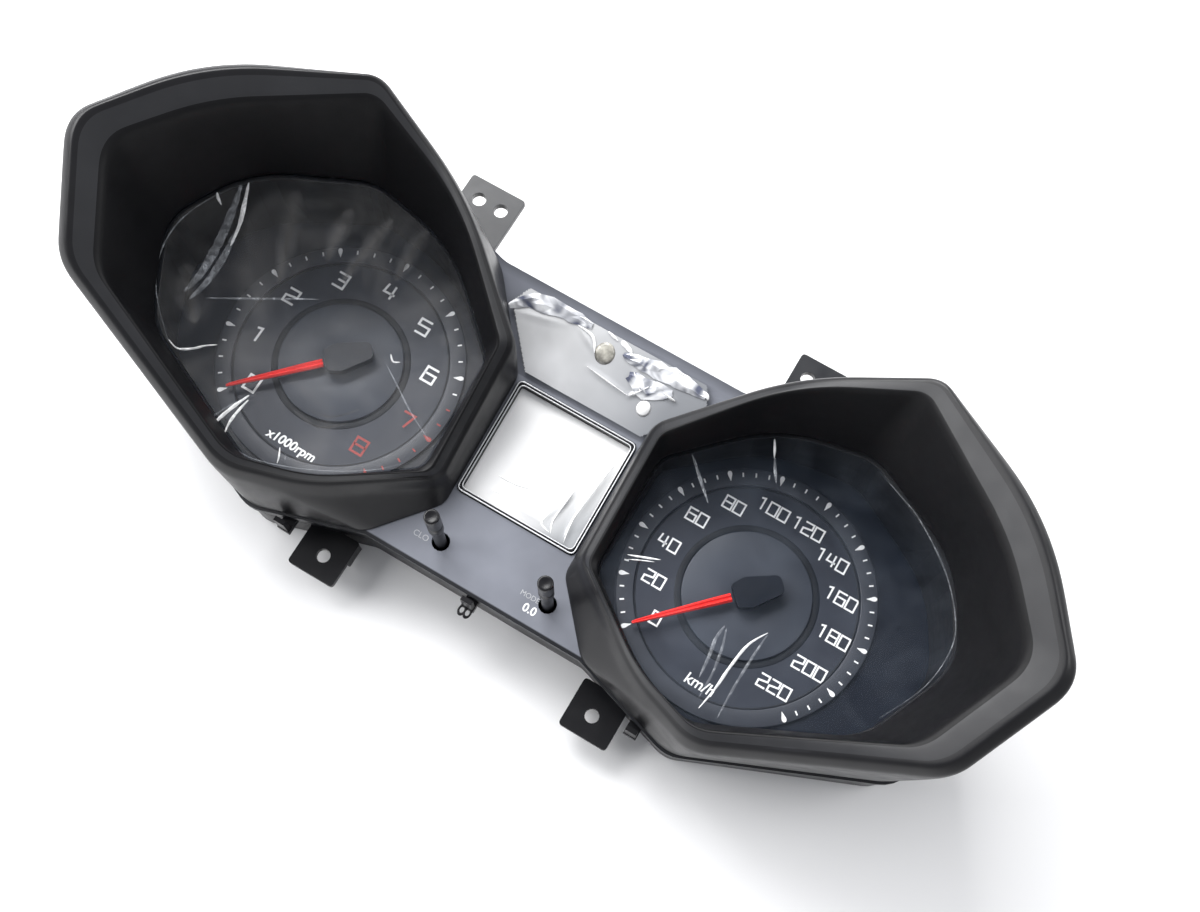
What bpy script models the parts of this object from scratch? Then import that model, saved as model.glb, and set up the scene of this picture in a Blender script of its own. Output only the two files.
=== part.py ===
"""Twin-binnacle instrument cluster for a car, lying on its back cover.

Frame: origin on the floor under the middle of the cluster, +X to the driver's
right, +Y towards the top edge, +Z out of the dial faces. Left and right halves
mirror each other about the plane x = 0, except for the two setting buttons.
Outlines are worked out in millimetres; meshes are in metres.
"""
import math

import bmesh
import bpy
from mathutils import Matrix, Vector

MM = 0.001
GAP = 0.3                    # air between neighbouring pieces
SIDE_ROOM = 200.0            # half length of cutters that pass the whole cluster
CLEAR_UP = 90.0              # top of cutters that pass out at the front
CLEAR_DOWN = -5.0            # bottom of cutters that pass out at the back

# Driving dimensions, millimetres
PIVOT_X = 85.0               # needle shaft from the middle plane
DIAL_Z = 40.0                # front of the dial faces above the floor
DIAL_RADIUS = 46.0           # outside of the scale ring
SCALE_INNER = 40.0           # inside of the scale ring
RING_HEIGHT = 0.8            # thickness of the raised scale ring and disc
DISC_RADIUS = 23.0           # raised disc round the needle hub
ZERO_ANGLE = 224.7           # scale start, counter-clockwise from +X
NEEDLE_TIP = 42.0
SHAFT_HOLE = 2.0             # hole for the needle shaft, radius
MASK_THICKNESS = 2.5
LENS_THICKNESS = 1.5
LENS_LEDGE = 1.6             # the lens reaches this far under the hood
WALL = 2.5
BOARD_Z = 13.0
BOARD_THICKNESS = 1.6
COVER_HEIGHT = 12.5
MOTOR_HEIGHT = 9.5
BUTTON_TOP = 66.0
BUTTON_STROKE = 2.0
BUTTON_PLACES = {"left": (-19.5, -36.7), "right": (25.4, -36.7)}
PIN_HOLE = 3.4               # hole in the mask for each button, radius

# Section through the front mask: where its upper face bends, as (y, height)
MASK_BENDS = ((-70.0, 24.7), (29.0, 42.5), (95.0, 75.5))

# Right-hand outlines as (x, y, corner radius), counter-clockwise from the inner top corner
BASE_OUTLINE = ((25.5, 28, 8), (25, -25, 8), (45, -47.5, 12), (88, -60.5, 18), (160, -30, 16),
                (174, 8, 15), (146.6, 42.6, 90), (100, 72, 10), (51, 58.8, 20))
LIP_OUTLINE = ((27.5, 32, 8), (27.3, -20.5, 8), (63.6, -49.3, 70), (94, -60, 18), (166.3, -31.8, 16),
               (182.8, 7, 15), (154, 47.5, 120), (105.7, 76.2, 10), (64.7, 62.9, 90))
RIM_OUTLINE = ((29.5, 31, 7), (29.5, -19, 7), (65.7, -46.1, 70), (93, -56.5, 17), (162, -29.5, 15),
               (177.6, 7.4, 14), (150.8, 43.9, 120), (105, 73.5, 9), (65.3, 60.3, 90))
MOUTH_OUTLINE = ((32.8, 28, 6), (32.3, -20.5, 6), (65.7, -44.2, 70), (92, -53, 16), (152, -27.5, 14),
                 (167, 7.5, 15), (144.6, 35.8, 120), (103, 68.3, 9), (65, 57.5, 90))
LENS_OUTLINE = ((36, 24, 8), (35.5, -20, 8), (65.7, -42.6, 70), (88, -51, 17), (140, -28, 24),
                (154.5, 5, 20), (138.5, 34.6, 90), (100, 55, 20), (66.1, 50.5, 70))
BODY_OUTLINE = ((45, -48, 6), (88, -61.2, 14), (161, -30.4, 14), (175, 8, 14),
                (147.2, 43.4, 60), (100, 72.8, 10), (50, 59.2, 16))

# Planes as (height on the middle axis, slope along |x|, slope along y)
RIM_PLANE = (39.5, 0.457, 0.371)
MOUTH_PLANE = (44.0, 0.422, 0.355)
LENS_PLANE = (43.0, 0.21, 0.18)
LCD_PLANE = (37.3, 0.0, 0.18)

# Display and warning window in the middle of the mask
LCD_HALF = 24.7
LCD_BOTTOM = -17.8
LCD_TOP = 27.5
LCD_FRAME = 1.5              # width of the display's bezel
WINDOW_OUTLINE = ((24.5, 31.0, 2.5), (40.0, 48.5, 2.5), (37.0, 53.6, 2.5))
WINDOW_LEDGE = 1.2           # the mask reaches this far in under the window
WELL_INSET = 6.5             # mask openings for the dials, inside the foot of each hood
LAMP_CELLS = (-22, 0, 22)    # middles of the three cells behind the window

# Upper tabs, on the mask
TAB_SPAN = (59.2, 82.5)      # inner and outer edge of each tab
TAB_REACH = (61.2, 88.3)
TAB_UNDERSIDE = 43.0
TAB_THICKNESS = 2.5
TAB_HOLE = 2.7
TAB_HOLES = ((65.5, 80.2), (75.0, 80.2))
SEAT_DEPTH = 0.5             # the screw seat stands proud under each upper tab
SEAT_START = 8.8             # from the tab's root to its seat
WEB_MIDDLE = 71.0            # the web that hangs each tab from the mask
WEB_HALF = 11.0
WEB_REACH = (61.0, 63.0)
WEB_HEIGHTS = (44.0, 57.5)
NOTCH_HALF = 12.3            # room for the web in the housing's wall

# Lower tabs, on the back cover
LOW_TAB_SPAN = (48.8, 68.4)
LOW_TAB_REACH = (-69.0, -49.6)
LOW_TAB_HEIGHTS = (9.7, 12.2)
LOW_TAB_HOLE = (58.0, -60.5)
RIB_WIDTH = 2.0              # two ribs under each lower tab
RIB_INSET = 0.6

# Screws from the back cover into the housing's bosses
SCREW_HINTS = ((-160, 6), (160, 6), (-90, -50), (90, -50), (-60, 50), (60, 50))
SCREW_INSET = 9.1            # screw axes from the body's outline
SCREW_TOP = 22.6
SHANK_RADIUS = 1.3
HEAD_RADIUS = 2.8
HEAD_HEIGHTS = (5.6, 7.7)
BORE_RADIUS = 1.7
BOSS_RADIUS = 5.6
BOSS_TOP = 24.2
TOWER_RADIUS = 4.2           # screw towers inside the back cover
SCREW_WELL = 3.2             # well for each screw head, from the rear
WELL_TOP = 8.0

# Snap hooks round the housing, and cooling slots in the back cover
HOOK_PLACES = ((-73.5, -56.6), (0.0, -47.0), (73.5, -56.6))
SLOT_MIDDLES = (-118, 118)
SLOT_HALF = 16.0
SLOT_PITCH = 6.0
SLOT_WIDTH = 2.5
SLOT_START = -12.0
SLOT_ROWS = 5

# Wiring socket on the back of the board
CONNECTOR = {"x": 0.0, "y": 10.0, "length": 46.0, "width": 15.0, "wall": 1.6}
PIN_COLUMNS = 8
PIN_PITCH = 5.0
PIN_HALF = 0.4

SIDES = {"left": -1, "right": 1}

COLOURS = {
    "hood": ((0.022, 0.023, 0.025), 0.42, 0.0),
    "mask": ((0.20, 0.205, 0.22), 0.45, 0.0),
    "black": ((0.015, 0.015, 0.017), 0.5, 0.0),
    "dial": ((0.028, 0.034, 0.05), 0.45, 0.0),
    "white": ((0.8, 0.8, 0.78), 0.5, 0.0),
    "clear": ((0.75, 0.8, 0.82), 0.08, 0.0),
    "display": ((0.72, 0.74, 0.76), 0.15, 0.0),
    "red": ((0.75, 0.03, 0.02), 0.35, 0.0),
    "steel": ((0.6, 0.6, 0.62), 0.3, 1.0),
    "board": ((0.02, 0.16, 0.06), 0.4, 0.0),
    "gold": ((0.75, 0.55, 0.2), 0.3, 1.0),
}


# ---------------------------------------------------------------- outlines

def rounded(corners, steps=4):
    """Points of a closed outline whose corners are filleted with the radius each one gives."""
    points = []
    for i, (x, y, radius) in enumerate(corners):
        here = Vector((x, y))
        before = (Vector(corners[i - 1][:2]) - here)
        after = (Vector(corners[(i + 1) % len(corners)][:2]) - here)
        turn = before.angle(after)
        reach = min(radius / math.tan(turn / 2), 0.45 * before.length, 0.45 * after.length)
        start = here + before.normalized() * reach
        end = here + after.normalized() * reach
        for k in range(steps + 1):
            t = k / steps
            points.append((1 - t) ** 2 * start + 2 * t * (1 - t) * here + t ** 2 * end)
    return points


def grown(points, distance):
    """The same outline moved out by a distance, or in when the distance is negative."""
    moved = []
    area = sum(a.x * b.y - b.x * a.y for a, b in zip(points, points[1:] + points[:1]))
    side = distance if area > 0 else -distance
    for i, here in enumerate(points):
        along = (points[(i + 1) % len(points)] - points[i - 1]).normalized()
        moved.append(here + Vector((along.y, -along.x)) * side)
    return moved


def both_halves(corners):
    """A right-hand list of corners, bottom to top, closed by its mirror image."""
    mirrored = [(-x, y, radius) for x, y, radius in reversed(corners)]
    return rounded(list(corners) + mirrored)


def circle(x, y, radius, count=24):
    """Evenly spaced points round a centre."""
    turns = [2 * math.pi * k / count for k in range(count)]
    return [Vector((x + radius * math.cos(a), y + radius * math.sin(a))) for a in turns]


def oblong(x0, x1, y0, y1, radius=1.0):
    """A rectangle with rounded corners."""
    return rounded(((x0, y0, radius), (x1, y0, radius), (x1, y1, radius), (x0, y1, radius)), 3)


def screw_places():
    """The point of the screw line nearest to each hint."""
    line = grown(both_halves(BODY_OUTLINE), -SCREW_INSET)
    return [min(line, key=lambda p: (p - Vector(hint)).length) for hint in SCREW_HINTS]


def on_side(points, side):
    """A right-hand outline as it is, or mirrored for the left."""
    return [Vector((side * p.x, p.y)) for p in points]


def mask_top(y):
    """Height of the mask's upper face at y."""
    for (y0, z0), (y1, z1) in zip(MASK_BENDS, MASK_BENDS[1:]):
        if y <= y1:
            break
    return z0 + (z1 - z0) * (y - y0) / (y1 - y0)


def plane_height(plane, x, y):
    """Height at a point of one of the planes that slope up outwards and along Y."""
    return plane[0] + plane[1] * abs(x) + plane[2] * y


# ---------------------------------------------------------------- modelling helpers

def material(name):
    """A plain finish from the colour table."""
    made = bpy.data.materials.new(name)
    made.use_nodes = True
    colour, roughness, metallic = COLOURS[name]
    shader = made.node_tree.nodes["Principled BSDF"]
    shader.inputs["Base Color"].default_value = (*colour, 1.0)
    shader.inputs["Roughness"].default_value = roughness
    shader.inputs["Metallic"].default_value = metallic
    made.diffuse_color = (*colour, 1.0)
    return made


def keep(name, mesh, finish, place=(0, 0, 0)):
    """A node of the cluster, from a mesh in metres."""
    piece = bpy.data.objects.new(name, mesh)
    piece.location = Vector(place) * MM
    mesh.materials.clear()
    mesh.materials.append(material(finish))
    parts.objects.link(piece)
    return piece


def plate_mesh(bottom, top, *outlines):
    """A flat plate between two heights; outlines after the first are holes."""
    curve = bpy.data.curves.new("plate", "CURVE")
    curve.dimensions = "2D"
    curve.fill_mode = "BOTH"
    curve.extrude = (top - bottom) / 2 * MM
    for points in outlines:
        spline = curve.splines.new("POLY")
        spline.points.add(len(points) - 1)
        spline.use_cyclic_u = True
        for point, p in zip(spline.points, points):
            point.co = (p.x * MM, p.y * MM, 0, 1)
    holder = bpy.data.objects.new("plate", curve)
    bpy.context.scene.collection.objects.link(holder)
    bpy.context.view_layer.update()
    evaluated = holder.evaluated_get(bpy.context.evaluated_depsgraph_get())
    mesh = bpy.data.meshes.new_from_object(evaluated)
    bpy.data.objects.remove(holder)
    bpy.data.curves.remove(curve)
    mesh.transform(Matrix.Translation((0, 0, (top + bottom) / 2 * MM)))
    weld(mesh)
    return mesh


def weld(mesh):
    """Merges doubled vertices and turns every face outwards."""
    work = bmesh.new()
    work.from_mesh(mesh)
    bmesh.ops.remove_doubles(work, verts=work.verts, dist=0.00001)
    bmesh.ops.recalc_face_normals(work, faces=work.faces)
    work.to_mesh(mesh)
    work.free()


def plate(name, finish, bottom, top, *outlines):
    """A node made of one flat plate."""
    return keep(name, plate_mesh(bottom, top, *outlines), finish)


def lean(piece, plane, above=None):
    """Shears a flat piece so that its heights are measured from a sloping plane."""
    for vertex in piece.data.vertices:
        x, y, z = vertex.co / MM
        if above is None or z > above:
            vertex.co.z = (z + plane_height(plane, x, y)) * MM
    return piece


def tube_loft(name, finish, rings):
    """A closed body skinned round rings of equal point count; the last ring joins the first."""
    work = bmesh.new()
    rows = [[work.verts.new(Vector(p) * MM) for p in ring] for ring in rings]
    for row, following in zip(rows, rows[1:] + rows[:1]):
        for i in range(len(row)):
            j = (i + 1) % len(row)
            work.faces.new((row[i], row[j], following[j], following[i]))
    bmesh.ops.recalc_face_normals(work, faces=work.faces)
    mesh = bpy.data.meshes.new(name)
    work.to_mesh(mesh)
    work.free()
    return keep(name, mesh, finish)


def turned(name, finish, place, profile, steps=24):
    """A body of revolution about +Z; the profile runs from the top centre to the bottom centre."""
    mesh = bpy.data.meshes.new(name)
    points = [(radius * MM, 0, height * MM) for radius, height in profile]
    edges = [(i, i + 1) for i in range(len(points) - 1)]
    if profile[0][0] > 0:
        edges.append((len(points) - 1, 0))
    mesh.from_pydata(points, edges, [])
    piece = keep(name, mesh, finish, place)
    screw = piece.modifiers.new("turn", "SCREW")
    screw.steps = steps
    screw.render_steps = steps
    screw.use_merge_vertices = True
    screw.merge_threshold = 0.00001
    return piece


def box_mesh(x0, x1, y0, y1, z0, z1):
    """A square-edged block between two corners."""
    work = bmesh.new()
    size = Vector((x1 - x0, y1 - y0, z1 - z0)) * MM
    middle = Vector((x1 + x0, y1 + y0, z1 + z0)) / 2 * MM
    placed = Matrix.Translation(middle) @ Matrix.Diagonal((*size, 1))
    bmesh.ops.create_cube(work, size=1, matrix=placed)
    mesh = bpy.data.meshes.new("box")
    work.to_mesh(mesh)
    work.free()
    return mesh


def joined(meshes):
    """Several separate shapes in one mesh."""
    work = bmesh.new()
    for mesh in meshes:
        work.from_mesh(mesh)
    mesh = bpy.data.meshes.new("joined")
    work.to_mesh(mesh)
    work.free()
    return mesh


def tool(mesh, name="tool"):
    """A shape that only cuts or joins, kept out of the model."""
    shape = bpy.data.objects.new(name, mesh)
    shape.hide_render = True
    shape.display_type = "WIRE"
    tools.objects.link(shape)
    return shape


def combine(piece, mesh, operation="DIFFERENCE"):
    """Cuts a shape out of a node, or joins it on."""
    change = piece.modifiers.new(operation.lower(), "BOOLEAN")
    change.operation = operation
    change.object = tool(mesh)
    return piece


def merge_flat_faces(piece):
    """Joins the coplanar faces that the cuts before this one left."""
    flat = piece.modifiers.new("flat", "DECIMATE")
    flat.decimate_type = "DISSOLVE"
    flat.angle_limit = math.radians(0.3)
    return piece


def stood_up(mesh):
    """Turns a plate drawn in XY so that its outline stands in YZ and its thickness runs along X."""
    mesh.transform(Matrix(((0, 0, 1, 0), (1, 0, 0, 0), (0, 1, 0, 0), (0, 0, 0, 1))))
    return mesh


def under_mask(drop, floor=-20.0):
    """Everything below the mask's upper face, lowered by a drop, as a solid along X."""
    low = [Vector((MASK_BENDS[0][0], floor)), Vector((MASK_BENDS[-1][0], floor))]
    section = low + [Vector((y, z - drop)) for y, z in reversed(MASK_BENDS)]
    return stood_up(plate_mesh(-SIDE_ROOM, SIDE_ROOM, section))


def mask_sheet():
    """The bent sheet itself: its section drawn once over the bends and back underneath."""
    over = [Vector((y, z)) for y, z in MASK_BENDS]
    under = [Vector((y, z - MASK_THICKNESS)) for y, z in reversed(MASK_BENDS)]
    return stood_up(plate_mesh(-SIDE_ROOM, SIDE_ROOM, over + under))


# ---------------------------------------------------------------- front

def window_points(growth=0.0):
    """Outline of the warning window, grown or shrunk."""
    return grown(both_halves(WINDOW_OUTLINE), growth)


def tab_meshes():
    """The two upper tabs, and the seats under them that take the dashboard's faces."""
    tabs = []
    seats = []
    for side in SIDES.values():
        x0, x1 = sorted(side * x for x in TAB_SPAN)
        tabs.append(plate_mesh(TAB_UNDERSIDE, TAB_UNDERSIDE + TAB_THICKNESS,
                               oblong(x0, x1, *TAB_REACH, 1.5)))
        seats.append(plate_mesh(TAB_UNDERSIDE - SEAT_DEPTH, TAB_UNDERSIDE + SEAT_DEPTH,
                                oblong(x0 + 1, x1 - 1, TAB_REACH[0] + SEAT_START, TAB_REACH[1] - 1, 1.0)))
    return joined(tabs), joined(seats)


def make_mask():
    """The bent face plate with its openings, and the two upper tabs with their webs."""
    wells = [on_side(grown(rounded(BASE_OUTLINE), -WELL_INSET), side) for side in SIDES.values()]
    lcd = oblong(-LCD_HALF - GAP, LCD_HALF + GAP, LCD_BOTTOM - GAP, LCD_TOP + GAP, 2.5)
    holes = [circle(x, y, PIN_HOLE, 14) for x, y in BUTTON_PLACES.values()]
    window = window_points(-WINDOW_LEDGE)
    mask = plate("front_mask", "mask", 10, 80, both_halves(BODY_OUTLINE), *wells, lcd, window, *holes)
    combine(mask, mask_sheet(), "INTERSECT")
    tabs, seats = tab_meshes()
    webs = [box_mesh(side * WEB_MIDDLE - WEB_HALF, side * WEB_MIDDLE + WEB_HALF, *WEB_REACH, *WEB_HEIGHTS)
            for side in SIDES.values()]
    screw_holes = [circle(side * x, y, TAB_HOLE, 16) for side in SIDES.values() for x, y in TAB_HOLES]
    combine(mask, tabs, "UNION")
    combine(mask, seats, "UNION")
    combine(mask, joined(webs), "UNION")
    combine(mask, plate_mesh(TAB_UNDERSIDE - 3, TAB_UNDERSIDE + 6, *screw_holes))
    merge_flat_faces(mask)


def ring_on_plane(points, plane, lift, side):
    """A right-hand outline laid on a sloping plane, on either side."""
    return [(side * p.x, p.y, plane_height(plane, p.x, p.y) + lift) for p in points]


def ring_on_mask(points, lift, side):
    """A right-hand outline laid on the mask, on either side."""
    return [(side * p.x, p.y, mask_top(p.y) + lift) for p in points]


def make_hood(label, side):
    """A thin-walled hood: outer wall, face band, and the funnel that narrows to the lens."""
    base, lip, rim, mouth, lens = [rounded(o) for o in (BASE_OUTLINE, LIP_OUTLINE, RIM_OUTLINE,
                                                        MOUTH_OUTLINE, LENS_OUTLINE)]
    rings = [
        ring_on_mask(base, GAP, side),
        ring_on_plane(lip, RIM_PLANE, -5.0, side),
        ring_on_plane(grown(rim, 1.2), RIM_PLANE, -0.8, side),
        ring_on_plane(rim, RIM_PLANE, 0.0, side),
        ring_on_plane(mouth, MOUTH_PLANE, 0.0, side),
        ring_on_plane(lens, LENS_PLANE, 2.0, side),
        ring_on_plane(grown(lens, 0.8), LENS_PLANE, 0.5, side),
        ring_on_plane(grown(mouth, 1.6), MOUTH_PLANE, -2.6, side),
        ring_on_plane(grown(rim, -0.4), RIM_PLANE, -3.4, side),
        ring_on_plane(grown(lip, -WALL), RIM_PLANE, -6.2, side),
        ring_on_mask(grown(base, -WALL), GAP, side),
    ]
    return tube_loft("hood_" + label, "hood", rings)


def make_lens(label, side):
    """The clear pane at the foot of a hood."""
    outline = on_side(grown(rounded(LENS_OUTLINE), LENS_LEDGE), side)
    lens = plate("lens_" + label, "clear", -LENS_THICKNESS, 0.2 - GAP, outline)
    return lean(lens, LENS_PLANE)


def make_surround(label, side):
    """The dark shroud between the sloping lens and the flat dial."""
    lens = rounded(LENS_OUTLINE)
    under = -LENS_THICKNESS - GAP
    low = DIAL_Z + RING_HEIGHT + 2 * GAP
    foot = grown(lens, -0.4)
    rings = [
        ring_on_plane(grown(lens, LENS_LEDGE), LENS_PLANE, under, side),
        ring_on_plane(grown(lens, -0.2), LENS_PLANE, under, side),
        [(side * p.x, p.y, low) for p in foot],
        [(side * p.x, p.y, low) for p in grown(lens, 1.2)],
    ]
    return tube_loft("dial_surround_" + label, "black", rings)


def make_dial(label, side):
    """Printed face, raised scale ring and raised disc, each with room for the needle shaft."""
    x = side * PIVOT_X
    face = on_side(grown(rounded(LENS_OUTLINE), 3.0), side)
    plate("dial_face_" + label, "dial", DIAL_Z - 1.0, DIAL_Z, face, circle(x, 0, SHAFT_HOLE, 16))
    low = DIAL_Z + GAP
    plate("scale_ring_" + label, "dial", low, low + RING_HEIGHT,
          circle(x, 0, DIAL_RADIUS, 36), circle(x, 0, SCALE_INNER, 36))
    plate("centre_disc_" + label, "dial", low, low + RING_HEIGHT,
          circle(x, 0, DISC_RADIUS, 24), circle(x, 0, SHAFT_HOLE, 16))


def make_needle(label, side):
    """Red pointer, black hub cap and the steel shaft, all turning about the pivot."""
    pivot = (side * PIVOT_X, 0, 0)
    turn = Matrix.Rotation(math.radians(ZERO_ANGLE), 4, "Z")
    low = DIAL_Z + 3.6
    blade = rounded(((5.5, -1.3, 0.5), (NEEDLE_TIP - 1, -0.35, 0.2), (NEEDLE_TIP, 0, 0.2),
                     (NEEDLE_TIP - 1, 0.35, 0.2), (5.5, 1.3, 0.5)), 2)
    needle = keep("needle_" + label, plate_mesh(low, low + 1.2, blade), "red", pivot)
    needle.data.transform(turn)
    cap_outline = rounded(((-12.5, -3.2, 2.5), (0, -5.6, 4), (5.0, -4.2, 1.5),
                           (5.0, 4.2, 1.5), (0, 5.6, 4), (-12.5, 3.2, 2.5)))
    cap = keep("hub_cap_" + label, plate_mesh(DIAL_Z + 2.6, DIAL_Z + 6.2, cap_outline), "black", pivot)
    cap.data.transform(turn)
    combine(cap, moved(plate_mesh(DIAL_Z, DIAL_Z + 4.6, circle(0, 0, 1.2, 12)), pivot))
    foot = BOARD_Z + BOARD_THICKNESS + MOTOR_HEIGHT + 2 * GAP
    turned("needle_shaft_" + label, "steel", pivot,
           ((0, DIAL_Z + 4.2), (0.8, DIAL_Z + 4.2), (0.8, foot), (0, foot)), 12)


def moved(mesh, place):
    """The mesh set down at a place in millimetres."""
    mesh.transform(Matrix.Translation(Vector(place) * MM))
    return mesh


def make_lcd():
    """Display: bezel, sloping glass, and the white tray behind it whose foot is level on the board."""
    outer = oblong(-LCD_HALF, LCD_HALF, LCD_BOTTOM, LCD_TOP, 2.2)
    inner = oblong(-LCD_HALF + LCD_FRAME, LCD_HALF - LCD_FRAME,
                   LCD_BOTTOM + LCD_FRAME, LCD_TOP - LCD_FRAME, 1.2)
    lean(plate("lcd_bezel", "black", -2.6, 0.9, outer, inner), LCD_PLANE)
    glass = oblong(-LCD_HALF, LCD_HALF, LCD_BOTTOM, LCD_TOP, 1.0)
    lean(plate("lcd_glass", "display", -4.9, -2.6 - GAP, glass), LCD_PLANE)
    tray = plate("lcd_backlight", "white", -18.0, -4.9 - GAP, glass)
    top_of_board = BOARD_Z + BOARD_THICKNESS + GAP
    for vertex in tray.data.vertices:
        x, y, z = vertex.co / MM
        leaning = z + plane_height(LCD_PLANE, x, y)
        vertex.co.z = (leaning if z > -10 else top_of_board) * MM


def make_warning_window():
    """The warning lamps' pane, flush with the mask, and the light box with three cells behind it."""
    lens = plate("warning_window", "clear", 30, 80, window_points())
    combine(lens, under_mask(-1.2), "INTERSECT")
    combine(lens, under_mask(-GAP))
    box = plate("warning_light_box", "white", BOARD_Z + BOARD_THICKNESS + GAP, 80, window_points(-2.0))
    combine(box, under_mask(MASK_THICKNESS + GAP), "INTERSECT")
    for x in LAMP_CELLS:
        combine(box, box_mesh(x - 8, x + 8, 35.5, 48.5, 22.0, CLEAR_UP))


# ---------------------------------------------------------------- buttons

def make_button(label, place):
    """A long pin with a wider grip end and a foot collar that its spring lifts."""
    x, y = place
    seat = BOARD_Z + BOARD_THICKNESS
    switch_top = seat + 3.9
    foot = switch_top + GAP + BUTTON_STROKE
    profile = ((0, BUTTON_TOP), (2.3, BUTTON_TOP), (2.8, BUTTON_TOP - 0.6), (2.8, BUTTON_TOP - 17),
               (2.2, BUTTON_TOP - 17.8), (2.2, foot + 2.6), (3.6, foot + 2.6), (3.6, foot + 1.0),
               (1.2, foot + 1.0), (1.2, foot), (0, foot))
    turned("button_" + label, "black", (x, y, 0), profile, 14)
    switch = keep("button_switch_" + label,
                  box_mesh(x - 3, x + 3, y - 3, y + 3, seat + GAP, seat + 2.8), "black")
    plunger = plate_mesh(seat + 2.0, switch_top, circle(x, y, 1.2, 12))
    combine(switch, plunger, "UNION")
    make_spring("button_spring_" + label, x, y, seat + 3.1, foot + 1.0 - GAP)


def make_spring(name, x, y, low, high, turns=3, radius=2.6, wire=0.22):
    """The return spring between the switch and the pin's collar."""
    curve = bpy.data.curves.new(name, "CURVE")
    curve.dimensions = "3D"
    curve.bevel_depth = wire * MM
    curve.bevel_resolution = 1
    curve.use_fill_caps = True
    count = turns * 10 + 1
    spline = curve.splines.new("POLY")
    spline.points.add(count - 1)
    for k, point in enumerate(spline.points):
        t = k / (count - 1)
        angle = 2 * math.pi * turns * t
        height = low + wire + (high - low - 2 * wire) * t
        point.co = (radius * math.cos(angle) * MM, radius * math.sin(angle) * MM, height * MM, 1)
    spring = bpy.data.objects.new(name, curve)
    spring.location = (x * MM, y * MM, 0)
    curve.materials.append(material("steel"))
    parts.objects.link(spring)


# ---------------------------------------------------------------- inside

def make_board():
    """Circuit board with the needle motors, light guides and the parts soldered to it."""
    top = BOARD_Z + BOARD_THICKNESS
    holes = [circle(x, y, BORE_RADIUS + GAP, 12) for x, y in screw_places()]
    plate("circuit_board", "board", BOARD_Z, top, grown(both_halves(BODY_OUTLINE), -5.2), *holes)
    seat = top + GAP
    for label, side in SIDES.items():
        x = side * PIVOT_X
        body = rounded(((x - 14, -9, 4), (x + 14, -9, 4), (x + 14, 9, 4), (x - 14, 9, 4)), 3)
        plate("stepper_motor_" + label, "black", seat, seat + MOTOR_HEIGHT, body)
        ring = circle(x, 0, 34, 24)
        plate("light_guide_" + label, "white", 27.0, DIAL_Z - 1.0 - GAP, ring, circle(x, 0, 6, 16))
        turned("capacitor_" + label, "steel", (side * 126, 22, 0),
               ((0, seat + 9.5), (4.0, seat + 9.5), (4.0, seat), (0, seat)), 16)
    plate("processor", "black", seat, seat + 1.6, oblong(-60, -46, -36, -22, 0.4))
    turned("warning_buzzer", "black", (54, -30, 0),
           ((0, seat + 7), (6.0, seat + 7), (6.0, seat), (0, seat)), 20)


def make_connector():
    """Wiring socket on the back of the board, open towards the rear, and its pin strip."""
    x, y = CONNECTOR["x"], CONNECTOR["y"]
    half, wide = CONNECTOR["length"] / 2, CONNECTOR["width"] / 2
    socket = plate("connector_socket", "black", 2.0, BOARD_Z - GAP,
                   oblong(x - half, x + half, y - wide, y + wide, 1.2))
    inside, across = half - CONNECTOR["wall"], wide - CONNECTOR["wall"]
    combine(socket, box_mesh(x - inside, x + inside, y - across, y + across, 0, 11.5))
    strip = keep("connector_pins", box_mesh(x - 19, x + 19, y - 3, y + 3, 10.4, 11.2), "gold")
    first = x - PIN_PITCH * (PIN_COLUMNS - 1) / 2
    places = [(first + column * PIN_PITCH, y + row * 2) for column in range(PIN_COLUMNS) for row in (-1, 1)]
    pins = [box_mesh(px - PIN_HALF, px + PIN_HALF, py - PIN_HALF, py + PIN_HALF, 6.5, 11.0)
            for px, py in places]
    combine(strip, joined(pins), "UNION")


# ---------------------------------------------------------------- rear

def make_housing():
    """Middle frame: outer wall from the back cover up to the mask, screw bosses and snap hooks."""
    outer = grown(both_halves(BODY_OUTLINE), -2.0)
    housing = plate("housing", "black", COVER_HEIGHT + GAP, 75, outer, grown(outer, -WALL))
    combine(housing, under_mask(MASK_THICKNESS + GAP), "INTERSECT")
    bosses = [circle(x, y, BOSS_RADIUS, 12) for x, y in screw_places()]
    bores = [circle(x, y, BORE_RADIUS, 12) for x, y in screw_places()]
    combine(housing, plate_mesh(BOARD_Z + 3, BOSS_TOP, *bosses), "UNION")
    combine(housing, plate_mesh(BOARD_Z - 9, BOSS_TOP - 1, *bores))
    arms = [box_mesh(x - 2.5, x + 2.5, y - 4.5, y + 4.5, 19.0, 22.0) for x, y in HOOK_PLACES]
    fingers = [box_mesh(x - 2.2, x + 2.2, y - 4.2, y - 2.4, 20.0, 31.5) for x, y in HOOK_PLACES]
    notches = [box_mesh(side * WEB_MIDDLE - NOTCH_HALF, side * WEB_MIDDLE + NOTCH_HALF,
                        58.0, 75.0, TAB_UNDERSIDE - SEAT_DEPTH, CLEAR_UP) for side in SIDES.values()]
    combine(housing, joined(notches))
    combine(housing, joined(arms), "UNION")
    combine(housing, joined(fingers), "UNION")
    merge_flat_faces(housing)


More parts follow.
